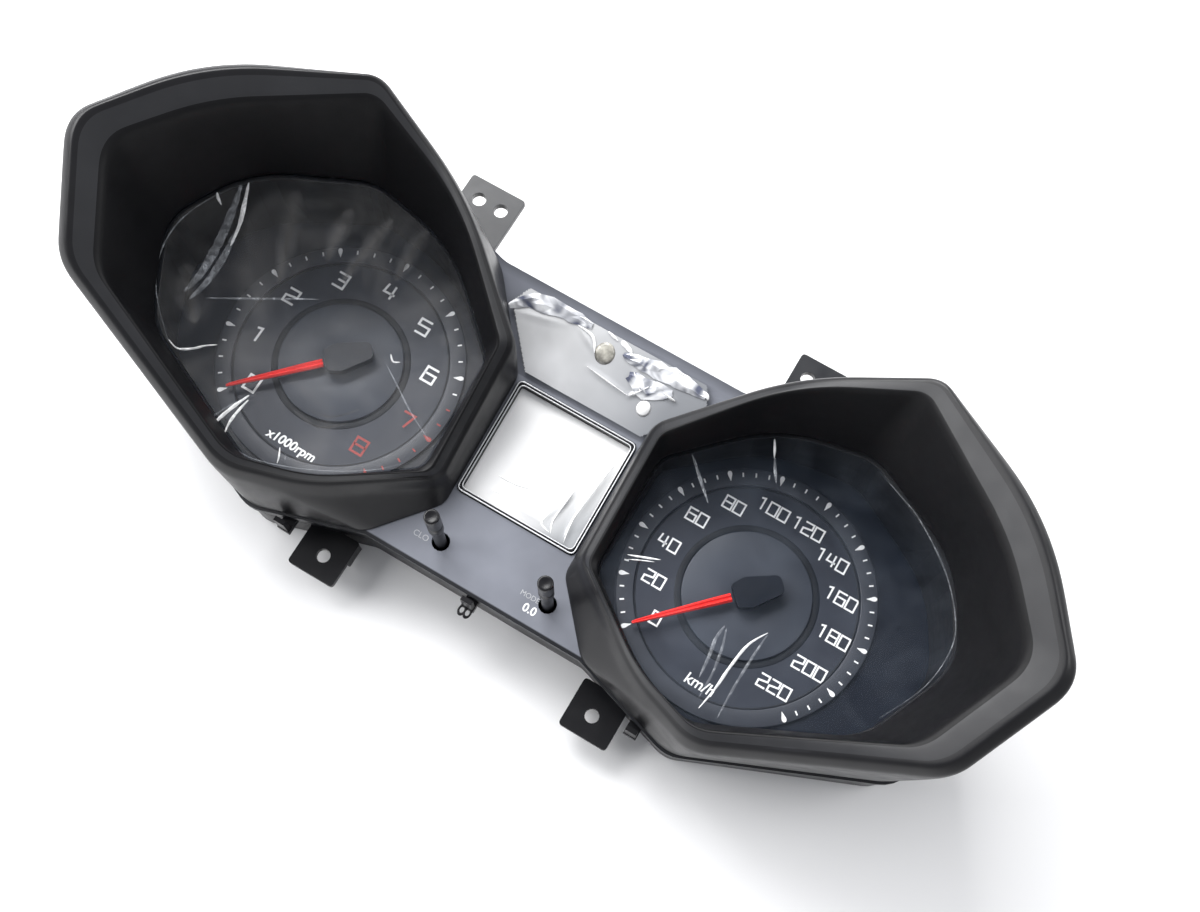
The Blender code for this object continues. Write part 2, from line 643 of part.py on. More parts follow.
def make_back_cover():
    """Rear tray with screw towers, vent slots, the connector's opening and two lower tabs."""
    outer = grown(both_halves(BODY_OUTLINE), -2.0)
    x, y = CONNECTOR["x"], CONNECTOR["y"]
    half, wide = CONNECTOR["length"] / 2 + GAP, CONNECTOR["width"] / 2 + GAP
    cover = plate("back_cover", "black", 0, COVER_HEIGHT, outer)
    towers = [circle(px, py, TOWER_RADIUS, 12) for px, py in screw_places()]
    combine(cover, plate_mesh(WALL, 40, grown(outer, -WALL), *towers))
    tabs = []
    ribs = []
    low, high = LOW_TAB_HEIGHTS
    for side in SIDES.values():
        x0, x1 = sorted(side * x for x in LOW_TAB_SPAN)
        hole = circle(side * LOW_TAB_HOLE[0], LOW_TAB_HOLE[1], TAB_HOLE, 16)
        tabs.append(plate_mesh(low, high, oblong(x0, x1, *LOW_TAB_REACH, 1.5), hole))
        ribs += [box_mesh(start, start + RIB_WIDTH, -58.0, -49.9, 3.0, low + 1.0)
                 for start in (x0 + RIB_INSET, x1 - RIB_INSET - RIB_WIDTH)]
    combine(cover, joined(tabs), "UNION")
    combine(cover, joined(ribs), "UNION")
    starts = [SLOT_START + row * SLOT_PITCH for row in range(SLOT_ROWS)]
    slots = [box_mesh(middle - SLOT_HALF, middle + SLOT_HALF, start, start + SLOT_WIDTH, CLEAR_DOWN, 5)
             for middle in SLOT_MIDDLES for start in starts]
    opening = box_mesh(x - half, x + half, y - wide, y + wide, CLEAR_DOWN, 5)
    wells = plate_mesh(CLEAR_DOWN, WELL_TOP, *[circle(px, py, SCREW_WELL, 12) for px, py in screw_places()])
    bores = plate_mesh(5, 40.0, *[circle(px, py, BORE_RADIUS, 12) for px, py in screw_places()])
    combine(cover, joined(slots + [opening, wells]))
    combine(cover, bores)
    merge_flat_faces(cover)


def make_screws():
    """Six screws with a flat head, a plain shank and a short point."""
    under, seat = HEAD_HEIGHTS
    profile = ((0, SCREW_TOP), (0.9, SCREW_TOP), (SHANK_RADIUS, SCREW_TOP - 1.4), (SHANK_RADIUS, seat),
               (HEAD_RADIUS, seat), (HEAD_RADIUS, under), (0, under))
    for number, (x, y) in enumerate(screw_places(), 1):
        turned("screw_%d" % number, "steel", (x, y, 0), profile, 12)


# ---------------------------------------------------------------- assembly

for old in list(bpy.data.objects):
    bpy.data.objects.remove(old)
parts = bpy.data.collections.new("instrument_cluster")
tools = bpy.data.collections.new("cutters")
bpy.context.scene.collection.children.link(parts)
bpy.context.scene.collection.children.link(tools)

make_mask()
for name, direction in SIDES.items():
    make_hood(name, direction)
    make_lens(name, direction)
    make_surround(name, direction)
    make_dial(name, direction)
    make_needle(name, direction)
    make_button(name, BUTTON_PLACES[name])
make_lcd()
make_warning_window()
make_board()
make_connector()
make_housing()
make_back_cover()
make_screws()
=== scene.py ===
"""Looks of a twin-binnacle instrument cluster, laid over its CAD frame.

Lengths are worked out in millimetres in the frame's own axes: +X to the driver's
right, +Y towards the top edge, +Z out of the dials. Meshes are in metres.
"""
from functools import partial
import math
import random

import bmesh
import bpy
from mathutils import Matrix, Vector, noise


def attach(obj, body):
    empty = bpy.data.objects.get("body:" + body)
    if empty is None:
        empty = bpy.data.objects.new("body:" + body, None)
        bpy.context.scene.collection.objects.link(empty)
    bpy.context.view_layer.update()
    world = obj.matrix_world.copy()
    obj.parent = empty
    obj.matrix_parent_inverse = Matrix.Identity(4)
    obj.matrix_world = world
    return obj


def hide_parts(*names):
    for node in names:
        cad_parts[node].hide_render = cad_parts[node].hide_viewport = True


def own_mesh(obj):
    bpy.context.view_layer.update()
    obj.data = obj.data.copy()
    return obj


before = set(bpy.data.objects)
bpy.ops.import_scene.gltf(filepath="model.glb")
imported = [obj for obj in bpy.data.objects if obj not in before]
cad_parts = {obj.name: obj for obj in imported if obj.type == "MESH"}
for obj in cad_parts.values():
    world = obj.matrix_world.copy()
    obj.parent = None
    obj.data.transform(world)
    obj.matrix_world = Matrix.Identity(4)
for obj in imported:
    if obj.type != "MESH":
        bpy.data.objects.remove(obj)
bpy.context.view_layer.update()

MM = 0.001
SIDES = {"left": -1, "right": 1}
PIVOT_X = 85.0
DIAL_Z = 40.0
PRINT_Z = DIAL_Z + 0.02
RING_FOOT = DIAL_Z + 0.3
RING_TOP = 41.1
NEEDLE_FOOT = 43.6
ZERO_ANGLE = 224.7

# Outlines of the right-hand binnacle as (x, y, corner radius)
BASE_OUTLINE = ((25.5, 28, 8), (25, -25, 8), (45, -47.5, 12), (88, -60.5, 18), (160, -30, 16),
                (174, 8, 15), (146.6, 42.6, 90), (100, 72, 10), (51, 58.8, 20))
LIP_OUTLINE = ((27.5, 32, 8), (27.3, -20.5, 8), (63.6, -49.3, 70), (94, -60, 18), (166.3, -31.8, 16),
               (182.8, 7, 15), (154, 47.5, 120), (105.7, 76.2, 10), (64.7, 62.9, 90))
RIM_OUTLINE = ((29.5, 31, 7), (29.5, -19, 7), (65.7, -46.1, 70), (93, -56.5, 17), (162, -29.5, 15),
               (177.6, 7.4, 14), (150.8, 43.9, 120), (105, 73.5, 9), (65.3, 60.3, 90))
MOUTH_OUTLINE = ((32.8, 28, 6), (32.3, -20.5, 6), (65.7, -44.2, 70), (92, -53, 16), (152, -27.5, 14),
                 (167, 7.5, 15), (144.6, 35.8, 120), (103, 68.3, 9), (65, 57.5, 90))
LENS_OUTLINE = ((36, 24, 8), (35.5, -20, 8), (65.7, -42.6, 70), (88, -51, 17), (140, -28, 24),
                (154.5, 5, 20), (138.5, 34.6, 90), (100, 55, 20), (66.1, 50.5, 70))
# Right half of the warning window's outline, from its foot up
WINDOW_OUTLINE = ((24.5, 31.0), (40.0, 48.5), (37.0, 53.6))
# The mask's upper face in section, as (y, height)
MASK_BENDS = ((-70.0, 24.7), (29.0, 42.5), (95.0, 75.5))
MASK_SLOPE = (MASK_BENDS[1][1] - MASK_BENDS[0][1]) / (MASK_BENDS[1][0] - MASK_BENDS[0][0])

# Planes as (height on the middle axis, slope along |x|, slope along y)
RIM_PLANE = (39.5, 0.457, 0.371)
MOUTH_PLANE = (44.0, 0.422, 0.355)
LENS_PLANE = (43.0, 0.21, 0.18)
LCD_PLANE = (37.3, 0.0, 0.18)
LCD_BOX = (-24.7, 24.7, -17.8, 27.5)
BOARD_TOP = 14.6
BUTTON_PLACES = {"left": (-19.5, -36.7), "right": (25.4, -36.7)}

# Dial print: marks as (inner radius, outer radius, width), then the numbers
LONG_MARK = (41.9, 45.6, 1.7)
SHORT_MARK = (43.1, 44.7, 0.55)
MARKS_PER_NUMBER = 4
NUMBER_RADIUS = 33.0
DIGIT_GAP = 0.9
NO_RED = 99
# Each dial's numbers, the degrees between them, where its red print starts, digit width, height and line
DIALS = {
    "left": ([str(k) for k in range(9)], 33.71, 6.5, 4.6, 5.6, 0.86),
    "right": ([str(20 * k) for k in range(12)], 24.49, NO_RED, 3.3, 4.5, 0.66),
}

# Protective films: lift over lens and mask, depth below the display's plane, reach past the window
FILM_LIFT = 0.45
WINDOW_FILM_LIFT = 1.7
LCD_FILM_DEPTH = 2.3
FILM_MARGIN = 0.8

DUST_COLOUR = (0.55, 0.55, 0.56)
DUST_SPACING = 4.2
WEAR_LIGHTNESS = 2.6
GRAIN_DEPTH = 0.00005
# Near-black for the mask's top tabs and sides, and painted shade along its lower edge.
BLACK_TRIM_AND_EDGE_SHADE = (0.007, 0.008, 0.011)

CLIP_PLACE = (-0.2, -52.7, 21.2)

# Studio, in metres: lamps as (name, place, target, size, watts)
LAMPS = (
    ("key", (-0.84, 0.76, 1.20), (0, 0.05, 0.04), (1.1, 0.8), 37),
    ("right", (1.10, 0.60, 1.05), (0, 0, 0.04), (0.9, 0.9), 9),
    ("left", (-1.15, -0.15, 0.80), (0, 0, 0.04), (1.0, 0.9), 20),
    ("back_strip", (0.0, 1.3, 0.55), (0, 0, 0.08), (1.8, 0.25), 8),
)
SKY_COLOUR = (0.93, 0.95, 1.0, 1.0)
SKY_STRENGTH = 0.40
FLOOR_HALF = 2.5
FLOOR_Z = -0.0002
SENSOR_WIDTH = 36.0
FOCAL_LENGTH = 44.15
CAMERA_PLACE = (0.08886, -0.12056, 0.54675)
CAMERA_RIGHT = Vector((0.86112, 0.50823, 0.01284))
CAMERA_UP = Vector((-0.48881, 0.82074, 0.29572))
CAMERA_BACK = Vector((0.13975, -0.26093, 0.95519))


# ---- finishes

def shader_node(tree, kind, **values):
    """A new shader node; a value sets or feeds the socket of that name, or else sets a property."""
    node = tree.nodes.new("ShaderNode" + kind)
    for key, value in values.items():
        socket = node.inputs.get(key.replace("_", " "))
        if socket is None:
            setattr(node, key, value)
        elif isinstance(value, bpy.types.NodeSocket):
            tree.links.new(value, socket)
        else:
            socket.default_value = value
    return node


def object_place(tree):
    """The place of a shaded point in the object's own space."""
    return shader_node(tree, "TexCoord").outputs["Object"]


def texture(tree, size_mm, detail=3.0, kind="TexNoise", **values):
    """A noise or Voronoi texture in the object's own space, with features of a given size."""
    return shader_node(tree, kind, Vector=object_place(tree), Scale=1000.0 / size_mm, Detail=detail, **values)


def ramp(tree, value, stops):
    """A colour ramp over a value; stops are (position, grey or colour)."""
    node = shader_node(tree, "ValToRGB", Fac=value)
    band = node.color_ramp
    while len(band.elements) < len(stops):
        band.elements.new(0.5)
    for element, (position, colour) in zip(band.elements, stops):
        element.position = position
        element.color = (*colour, 1.0) if isinstance(colour, tuple) else (colour, colour, colour, 1.0)
    return node.outputs["Color"]


def blend_colours(tree, share, first, second):
    """The mix of two colours or colour sockets by a share from 0 to 1."""
    node = shader_node(tree, "Mix", data_type="RGBA", Factor=share)
    for socket, colour in ((node.inputs["A"], first), (node.inputs["B"], second)):
        if isinstance(colour, tuple):
            socket.default_value = (*colour, 1.0)
        else:
            tree.links.new(colour, socket)
    return node.outputs["Result"]


def scaled(colour, factor):
    """A colour made lighter or darker."""
    return tuple(min(1.0, c * factor) for c in colour)


def finish(name, colour, roughness, spread=0.12, mottle=22.0, grain=0.25, bump=0.15,
           metallic=0.0, dust=0.0, wear=0.0, shine=0.5, **fixed):
    """A material with mottled colour and gloss, a fine moulded grain, and optional dust and edge wear."""
    made = bpy.data.materials.new(name)
    made.use_nodes = True
    tree = made.node_tree
    shader = tree.nodes["Principled BSDF"]
    cloud = texture(tree, mottle).outputs["Fac"]
    tint = ramp(tree, cloud, ((0.3, scaled(colour, 1 - spread)), (0.7, scaled(colour, 1 + spread))))
    smear = texture(tree, mottle / 3.1, 4.0).outputs["Fac"]
    gloss = ramp(tree, smear, ((0.3, max(0.02, roughness - 0.05)), (0.75, min(1.0, roughness + 0.07))))
    if wear:
        shape = shader_node(tree, "NewGeometry")
        edge = ramp(tree, shape.outputs["Pointiness"], ((0.505, 0.0), (0.56, wear)))
        tint = blend_colours(tree, edge, tint, scaled(colour, WEAR_LIGHTNESS))
    if dust:
        speck = texture(tree, DUST_SPACING, kind="TexVoronoi").outputs["Distance"]
        spots = ramp(tree, speck, ((0.0, dust), (0.045, dust), (0.06, 0.0)))
        tint = blend_colours(tree, spots, tint, DUST_COLOUR)
    tree.links.new(tint, shader.inputs["Base Color"])
    tree.links.new(gloss, shader.inputs["Roughness"])
    if bump:
        height = texture(tree, grain, 2.0).outputs["Fac"]
        relief = shader_node(tree, "Bump", Strength=bump, Distance=GRAIN_DEPTH, Height=height)
        tree.links.new(relief.outputs["Normal"], shader.inputs["Normal"])
    shader.inputs["Metallic"].default_value = metallic
    shader.inputs["Specular IOR Level"].default_value = shine
    for socket, value in fixed.items():
        shader.inputs[socket.replace("_", " ")].default_value = value
    return made


def run_over(made, distance, start, stop, colour):
    """Lets a material's colour run over into another one as a distance grows from start to stop."""
    tree = made.node_tree
    shader = tree.nodes["Principled BSDF"]
    share = shader_node(tree, "MapRange", Value=distance, From_Min=start * MM, From_Max=stop * MM)
    current = shader.inputs["Base Color"].links[0].from_socket
    mixed = blend_colours(tree, share.outputs["Result"], current, colour)
    tree.links.new(mixed, shader.inputs["Base Color"])


def shade_along(made, direction, start, stop, colour):
    """Changes a material's colour along a direction in the object's X and Y."""
    tree = made.node_tree
    reach = shader_node(tree, "VectorMath", operation="DOT_PRODUCT", Vector=object_place(tree))
    reach.inputs[1].default_value = (*direction, 0)
    run_over(made, reach.outputs["Value"], start, stop, colour)


def dial_finish(name, inner, outer, edge):
    """Dial print that changes colour outside a radius from its pivot."""
    made = finish(name, inner, 0.42, spread=0.06, mottle=14, grain=0.3, bump=0.08, dust=0.35, shine=0.3)
    tree = made.node_tree
    split = shader_node(tree, "SeparateXYZ", Vector=object_place(tree))
    side = shader_node(tree, "Math", operation="ABSOLUTE", Value=split.outputs["X"])
    flat = shader_node(tree, "CombineXYZ", X=side.outputs[0], Y=split.outputs["Y"])
    reach = shader_node(tree, "VectorMath", operation="DISTANCE", Vector=flat.outputs[0])
    reach.inputs[1].default_value = (PIVOT_X * MM, 0, 0)
    run_over(made, reach.outputs["Value"], edge - 0.4, edge + 0.6, outer)
    return made


def crumple_finish(name):
    """Crumpled glossy film, with bright and dark patches painted into its colour as reflections."""
    made = finish(name, (0.7, 0.7, 0.72), 0.16, bump=0.03, Coat_Weight=0.6, Coat_Roughness=0.05)
    tree = made.node_tree
    shader = tree.nodes["Principled BSDF"]
    reflection_patch = texture(tree, 9.0, 1.0, Distortion=1.2)
    # Painted reflections: dark blue, grey and white patches.
    stops = ((0.34, (0.10, 0.11, 0.16)), (0.44, (0.34, 0.35, 0.38)),
             (0.54, (0.66, 0.67, 0.70)), (0.62, (0.92, 0.93, 0.95)))
    colours = ramp(tree, reflection_patch.outputs["Fac"], stops)
    tree.links.new(colours, shader.inputs["Base Color"])
    return made


def film_finish(name, colour, alpha, roughness, streak_mm, contrast):
    """Clear film: see-through, with cloudier streaks where it creases."""
    made = finish(name, colour, roughness, spread=0.05, mottle=9, bump=0)
    tree = made.node_tree
    shader = tree.nodes["Principled BSDF"]
    wisp = texture(tree, streak_mm, 5.0, Distortion=1.4)
    stops = ((0.42, alpha * (1 - contrast)), (0.72, min(1.0, alpha * (1 + contrast))))
    haze = ramp(tree, wisp.outputs["Fac"], stops)
    tree.links.new(haze, shader.inputs["Alpha"])
    return made


HOOD = finish("hood_black", (0.010, 0.010, 0.0115), 0.34, bump=0.3, dust=0.25, wear=0.35, shine=0.32)
# Painted light and shade: the face band and the funnel are the hood's own black plastic, the band painted
# lighter where light falls on it, the funnel painted darker where it lies in shade.
LIT_BAND = finish("hood_band_painted_light", (0.024, 0.0245, 0.027), 0.34, bump=0.3, dust=0.25, wear=0.15, shine=0.32)
SHADED_FUNNEL = finish("funnel_painted_shade", (0.0035, 0.0035, 0.0045), 0.5, bump=0.3, shine=0.25)
MASK = finish("mask_grey", (0.195, 0.205, 0.238), 0.36, bump=0.35, dust=0.2)
# The mask runs into near-black towards its top tabs and at its sides past the hoods; the thin band along its
# lower edge is painted shade, standing in for the shaded underside below it.
for outwards, start, stop in (((0, 1), 56.0, 63.0), ((0, -1), 46.4, 46.9),
                              ((1, 0), 61.0, 64.0), ((-1, 0), 61.0, 64.0)):
    shade_along(MASK, outwards, start, stop, BLACK_TRIM_AND_EDGE_SHADE)
BLACK = finish("moulded_black", (0.004, 0.004, 0.0055), 0.34, bump=0.35, shine=0.35)
CAP = finish("hub_black", (0.004, 0.006, 0.011), 0.34, bump=0.12, dust=0.3, shine=0.3)
DIAL = dial_finish("dial_print", (0.026, 0.030, 0.042), (0.0035, 0.006, 0.013), 46.3)
RING = finish("scale_print", (0.038, 0.042, 0.053), 0.42, spread=0.08, bump=0.08, dust=0.3, shine=0.3)
DISC = finish("disc_print", (0.040, 0.046, 0.060), 0.42, spread=0.08, bump=0.08, dust=0.4, shine=0.3)
# Painted shadow: near-black flat rings laid where the recessed grooves beside the raised rings lie in shade.
GROOVE_SHADOW = finish("groove_shadow", (0.004, 0.0055, 0.009), 0.6, bump=0.1, shine=0.3)
WHITE = finish("white_print", (0.90, 0.91, 0.92), 0.5, spread=0.03, mottle=5, bump=0.08)
DIM_RED = finish("red_print", (0.26, 0.022, 0.018), 0.5, spread=0.1, mottle=4, bump=0.08)
RED = finish("pointer_red", (0.84, 0.022, 0.016), 0.32, spread=0.1, mottle=7, bump=0.08)
LABEL = finish("label_print", (0.46, 0.47, 0.49), 0.5, spread=0.1, mottle=3, bump=0.08)
STEEL = finish("steel", (0.55, 0.55, 0.57), 0.3, spread=0.08, mottle=6, bump=0.1, metallic=1.0)
# Painted highlight: pale beads that stand in for light along the display bezel's edges.
BEZEL_EDGE_HIGHLIGHT = finish("bezel_edge_highlight", (0.86, 0.87, 0.89), 0.2, spread=0.05, bump=0.04, metallic=0.3)
BOARD = finish("board_green", (0.015, 0.10, 0.04), 0.4, spread=0.15, mottle=8, bump=0.1)
GOLD = finish("contact_gold", (0.75, 0.5, 0.18), 0.3, spread=0.08, mottle=4, bump=0.08, metallic=1.0)
MILK = finish("milky_white", (0.78, 0.78, 0.75), 0.5, spread=0.04, bump=0.15)
PANEL = finish("display_panel", (0.80, 0.81, 0.82), 0.2, spread=0.04, mottle=12, bump=0.05)
LENS = film_finish("lens_clear", (0.30, 0.38, 0.52), 0.012, 0.06, 40.0, 0.4)
LENS_FILMS = {"left": film_finish("film_smoky", (0.80, 0.78, 0.76), 0.045, 0.1, 30.0, 0.55),
              "right": film_finish("film_clear", (0.70, 0.80, 0.95), 0.010, 0.1, 30.0, 0.9)}
# Painted highlights: white and pale ribbons along the film's creases and edges, where they would catch the
# light.
CREASE_HIGHLIGHT = film_finish("film_crease_highlight", (0.96, 0.97, 0.99), 0.85, 0.2, 2.5, 0.3)
FAINT_HIGHLIGHT = film_finish("film_faint_crease", (0.80, 0.84, 0.90), 0.2, 0.2, 3.0, 0.6)
# Painted glare: a faint pale haze laid over the left lens in beams and glints of light.
GLARE = film_finish("film_painted_glare", (0.70, 0.70, 0.72), 0.022, 0.3, 12.0, 0.4)
LCD_FILM = finish("display_film", (0.97, 0.97, 0.97), 0.22, spread=0.06, mottle=22, bump=0.03,
                  Coat_Weight=0.5, Coat_Roughness=0.08)
# Painted shade: the display film greys towards its lower right.
shade_along(LCD_FILM, (0.8, -0.6), 2.0, 22.0, (0.36, 0.37, 0.385))
# Painted highlight: pure white for the streaks on the display and window films and for the drop.
STREAK_HIGHLIGHT = finish("display_streak_highlight", (1.0, 1.0, 1.0), 0.2, spread=0.02, bump=0.05, Coat_Weight=0.5)
SILVER = finish("window_film", (0.60, 0.605, 0.615), 0.2, spread=0.18, mottle=26, bump=0.03,
                Coat_Weight=0.7, Coat_Roughness=0.05)
# Painted shade: the window film grows darker towards the right.
shade_along(SILVER, (1.0, -0.25), -26.0, 18.0, (0.26, 0.27, 0.29))
CRUMPLE_REFLECTIONS = crumple_finish("crumpled_film_painted_reflections")
BUBBLE = finish("film_bubble", (0.40, 0.385, 0.34), 0.15, spread=0.55, mottle=3.2, bump=0.1,
                Coat_Weight=0.8)
PRINT_COLOURS = {"white": WHITE, "red": DIM_RED}


# ---- shapes

def rounded(corners, steps=8, fill=3):
    """A closed outline whose corners are filleted with the radius each one gives."""
    arcs = []
    for i, (x, y, radius) in enumerate(corners):
        here = Vector((x, y))
        before = Vector(corners[i - 1][:2]) - here
        after = Vector(corners[(i + 1) % len(corners)][:2]) - here
        reach = min(radius / math.tan(before.angle(after) / 2), 0.45 * before.length, 0.45 * after.length)
        start = here + before.normalized() * reach
        end = here + after.normalized() * reach
        shares = [k / steps for k in range(steps + 1)]
        arcs.append([(1 - t) ** 2 * start + 2 * t * (1 - t) * here + t ** 2 * end for t in shares])
    points = []
    for i, arc in enumerate(arcs):
        goal = arcs[(i + 1) % len(arcs)][0]
        points += arc + [arc[-1].lerp(goal, (k + 1) / (fill + 1)) for k in range(fill)]
    return points


def grown(points, distance):
    """The same outline moved out by a distance, or in when the distance is negative."""
    area = sum(a.x * b.y - b.x * a.y for a, b in zip(points, points[1:] + points[:1]))
    side = distance if area > 0 else -distance
    moved = []
    for i, here in enumerate(points):
        along = (points[(i + 1) % len(points)] - points[i - 1]).normalized()
        moved.append(here + Vector((along.y, -along.x)) * side)
    return moved


def oblong(x0, x1, y0, y1, radius):
    """A rectangle with filleted corners."""
    return rounded(((x0, y0, radius), (x1, y0, radius), (x1, y1, radius), (x0, y1, radius)), 5)


def mask_top(y):
    """Height of the mask's upper face at y."""
    for (y0, z0), (y1, z1) in zip(MASK_BENDS, MASK_BENDS[1:]):
        if y <= y1:
            break
    return z0 + (z1 - z0) * (y - y0) / (y1 - y0)


def plane_height(plane, x, y):
    """Height of a plane that slopes along |x| and y."""
    return plane[0] + plane[1] * abs(x) + plane[2] * y


lens_height = partial(plane_height, LENS_PLANE)
lcd_height = partial(plane_height, LCD_PLANE)


def on_plane(points, plane, lift, side=1):
    """An outline set on a plane, on one side of the cluster."""
    return [Vector((side * p.x, p.y, plane_height(plane, p.x, p.y) + lift)) for p in points]


def on_mask(points, lift, side):
    """An outline set on the mask's upper face, on one side of the cluster."""
    return [Vector((side * p.x, p.y, mask_top(p.y) + lift)) for p in points]


def added(name, data):
    """A new object in the scene."""
    made = bpy.data.objects.new(name, data)
    bpy.context.scene.collection.objects.link(made)
    return made


def piece(name, mesh, materials, body="cluster", smooth=True, stands_for=()):
    """A visible piece that rides a body, from a mesh in metres."""
    made = added(name, mesh)
    for material in materials if isinstance(materials, (list, tuple)) else [materials]:
        mesh.materials.append(material)
    if smooth:
        mesh.shade_smooth()
    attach(made, body)
    if stands_for:
        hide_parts(*stands_for)
    return made


def mesh_from(name, vertices, faces):
    """A mesh in metres from points in millimetres, with its faces turned outwards."""
    mesh = bpy.data.meshes.new(name)
    mesh.from_pydata([Vector(v) * MM for v in vertices], [], faces)
    work = bmesh.new()
    work.from_mesh(mesh)
    bmesh.ops.recalc_face_normals(work, faces=work.faces)
    work.to_mesh(mesh)
    work.free()
    return mesh


def skin(rings, closed=True):
    """Quads between successive rings of equal length, as (vertices, faces)."""
    count = len(rings[0])
    vertices = [p for ring in rings for p in ring]
    faces = []
    for r in range(len(rings) if closed else len(rings) - 1):
        a, b = r * count, ((r + 1) % len(rings)) * count
        for i in range(count):
            j = (i + 1) % count
            faces.append((a + i, a + j, b + j, b + i))
    return vertices, faces


def capped_skin(rings):
    """Quads between successive rings, and a flat face over either end."""
    vertices, faces = skin(rings, closed=False)
    count = len(rings[0])
    faces.append(tuple(range(count)))
    faces.append(tuple(reversed(range(len(vertices) - count, len(vertices)))))
    return vertices, faces


def turned_mesh(name, x, y, profile, steps=40):
    """A body of revolution about +Z from (radius, height) points, top centre to bottom centre."""
    turns = [2 * math.pi * k / steps for k in range(steps)]
    rings = [[(x + radius * math.cos(turn), y + radius * math.sin(turn), height) for turn in turns]
             for radius, height in profile]
    return mesh_from(name, *capped_skin(rings))


def wire_ring(x, y, z, radius, wire, angle, stretch=1.0, sides=8):
    """A round wire's section at an angle of its bend round a centre; stretch acts along Y."""
    ring = []
    for j in range(sides):
        turn = 2 * math.pi * j / sides
        reach = radius + wire * math.cos(turn)
        ring.append((x + reach * math.cos(angle), y + stretch * reach * math.sin(angle),
                     z + wire * math.sin(turn)))
    return ring


def subdivide(made, levels):
    """Rounds a piece by subdivision."""
    change = made.modifiers.new("round", "SUBSURF")
    change.levels = levels
    change.render_levels = levels


def bevel(made, width_mm, segments=2, angle=30.0):
    """Rounds the sharp edges of a piece or of a CAD node."""
    join = made.modifiers.new("join", "WELD")
    join.merge_threshold = 0.000002
    change = made.modifiers.new("edge", "BEVEL")
    change.width = width_mm * MM
    change.segments = segments
    change.limit_method = "ANGLE"
    change.angle_limit = math.radians(angle)
    change.harden_normals = True


def eased(keys, reach):
    """Two rings for each key ring, a little before and after it, so that subdivision rounds its edge."""
    rings = []
    for i, ring in enumerate(keys):
        for other in (keys[i - 1], keys[(i + 1) % len(keys)]):
            shares = [min(reach[i] / max((q - p).length, 0.01), 0.4) for p, q in zip(ring, other)]
            rings.append([p.lerp(q, share) for p, q, share in zip(ring, other, shares)])
    return rings


# ---- hoods

# Rows of the hood's faces, counted from its foot, up the outside and down the funnel
BAND_ROW = 7
FUNNEL_ROWS = (8, 9, 10)


def make_hood(label, side):
    """Outer wall, rolled rim, face band and the funnel that narrows to the lens; the band is painted lighter
    as lit, the funnel darker as shaded.
    """
    base, lip, rim, mouth, lens = [rounded(o) for o in (BASE_OUTLINE, LIP_OUTLINE, RIM_OUTLINE,
                                                        MOUTH_OUTLINE, LENS_OUTLINE)]
    keys = [
        on_mask(base, 0.3, side),
        on_plane(lip, RIM_PLANE, -5.0, side),
        on_plane(grown(rim, 1.2), RIM_PLANE, -0.8, side),
        on_plane(rim, RIM_PLANE, 0.0, side),
        on_plane(mouth, MOUTH_PLANE, 0.0, side),
        on_plane(lens, LENS_PLANE, 2.0, side),
        on_plane(grown(lens, 0.8), LENS_PLANE, 0.5, side),
        on_plane(grown(mouth, 1.6), MOUTH_PLANE, -2.6, side),
        on_plane(grown(rim, -0.4), RIM_PLANE, -3.4, side),
        on_plane(grown(lip, -2.5), RIM_PLANE, -6.2, side),
        on_mask(grown(base, -2.5), 0.3, side),
    ]
    reach = [0.3, 1.0, 0.5, 0.25, 0.45, 0.6, 0.3, 1.0, 0.6, 1.0, 0.3]
    name = "hood_shell_" + label
    mesh = mesh_from(name, *skin(eased(keys, reach)))
    hood = piece(name, mesh, [HOOD, LIT_BAND, SHADED_FUNNEL], stands_for=["hood_" + label])
    for polygon in mesh.polygons:
        row = min(polygon.vertices) // len(base)
        if row == BAND_ROW:
            polygon.material_index = 1
        elif row in FUNNEL_ROWS:
            polygon.material_index = 2
    subdivide(hood, 2)


# ---- dials

GLYPHS = {
    "0": ([(0, 0), (1, 0), (1, 1), (0, 1), (0, 0)],),
    "1": ([(0.12, 0.92), (0.55, 1.0), (0.55, 0.0)],),
    "2": ([(0, 1), (1, 1), (1, 0.56), (0, 0.44), (0, 0), (1, 0)],),
    "3": ([(0, 1), (1, 1), (1, 0), (0, 0)], [(0.25, 0.5), (1, 0.5)]),
    "4": ([(0.1, 1), (0, 0.36), (1, 0.36)], [(0.74, 1), (0.74, 0)]),
    "5": ([(1, 1), (0, 1), (0, 0.56), (1, 0.56), (1, 0), (0, 0)],),
    "6": ([(1, 1), (0, 1), (0, 0), (1, 0), (1, 0.56), (0, 0.56)],),
    "7": ([(0, 1), (1, 1), (0.6, 0)],),
    "8": ([(0, 0), (1, 0), (1, 1), (0, 1), (0, 0)], [(0, 0.52), (1, 0.52)]),
}


def stroke(path, width):
    """Corner points on either side of a polyline, mitred, as (left, right) lists."""
    closed = path[0] == path[-1]
    points = [Vector(p) for p in (path[:-1] if closed else path)]
    left, right = [], []
    for i, here in enumerate(points):
        ahead = points[(i + 1) % len(points)] - here if closed or i + 1 < len(points) else None
        behind = here - points[i - 1] if closed or i > 0 else None
        first = (behind or ahead).normalized()
        second = (ahead or behind).normalized()
        across = Vector((-first.y - second.y, first.x + second.x)).normalized()
        size = width / 2 / max(0.4, across.dot(Vector((-first.y, first.x))))
        left.append(here + across * size)
        right.append(here - across * size)
    if closed:
        left.append(left[0])
        right.append(right[0])
    return left, right


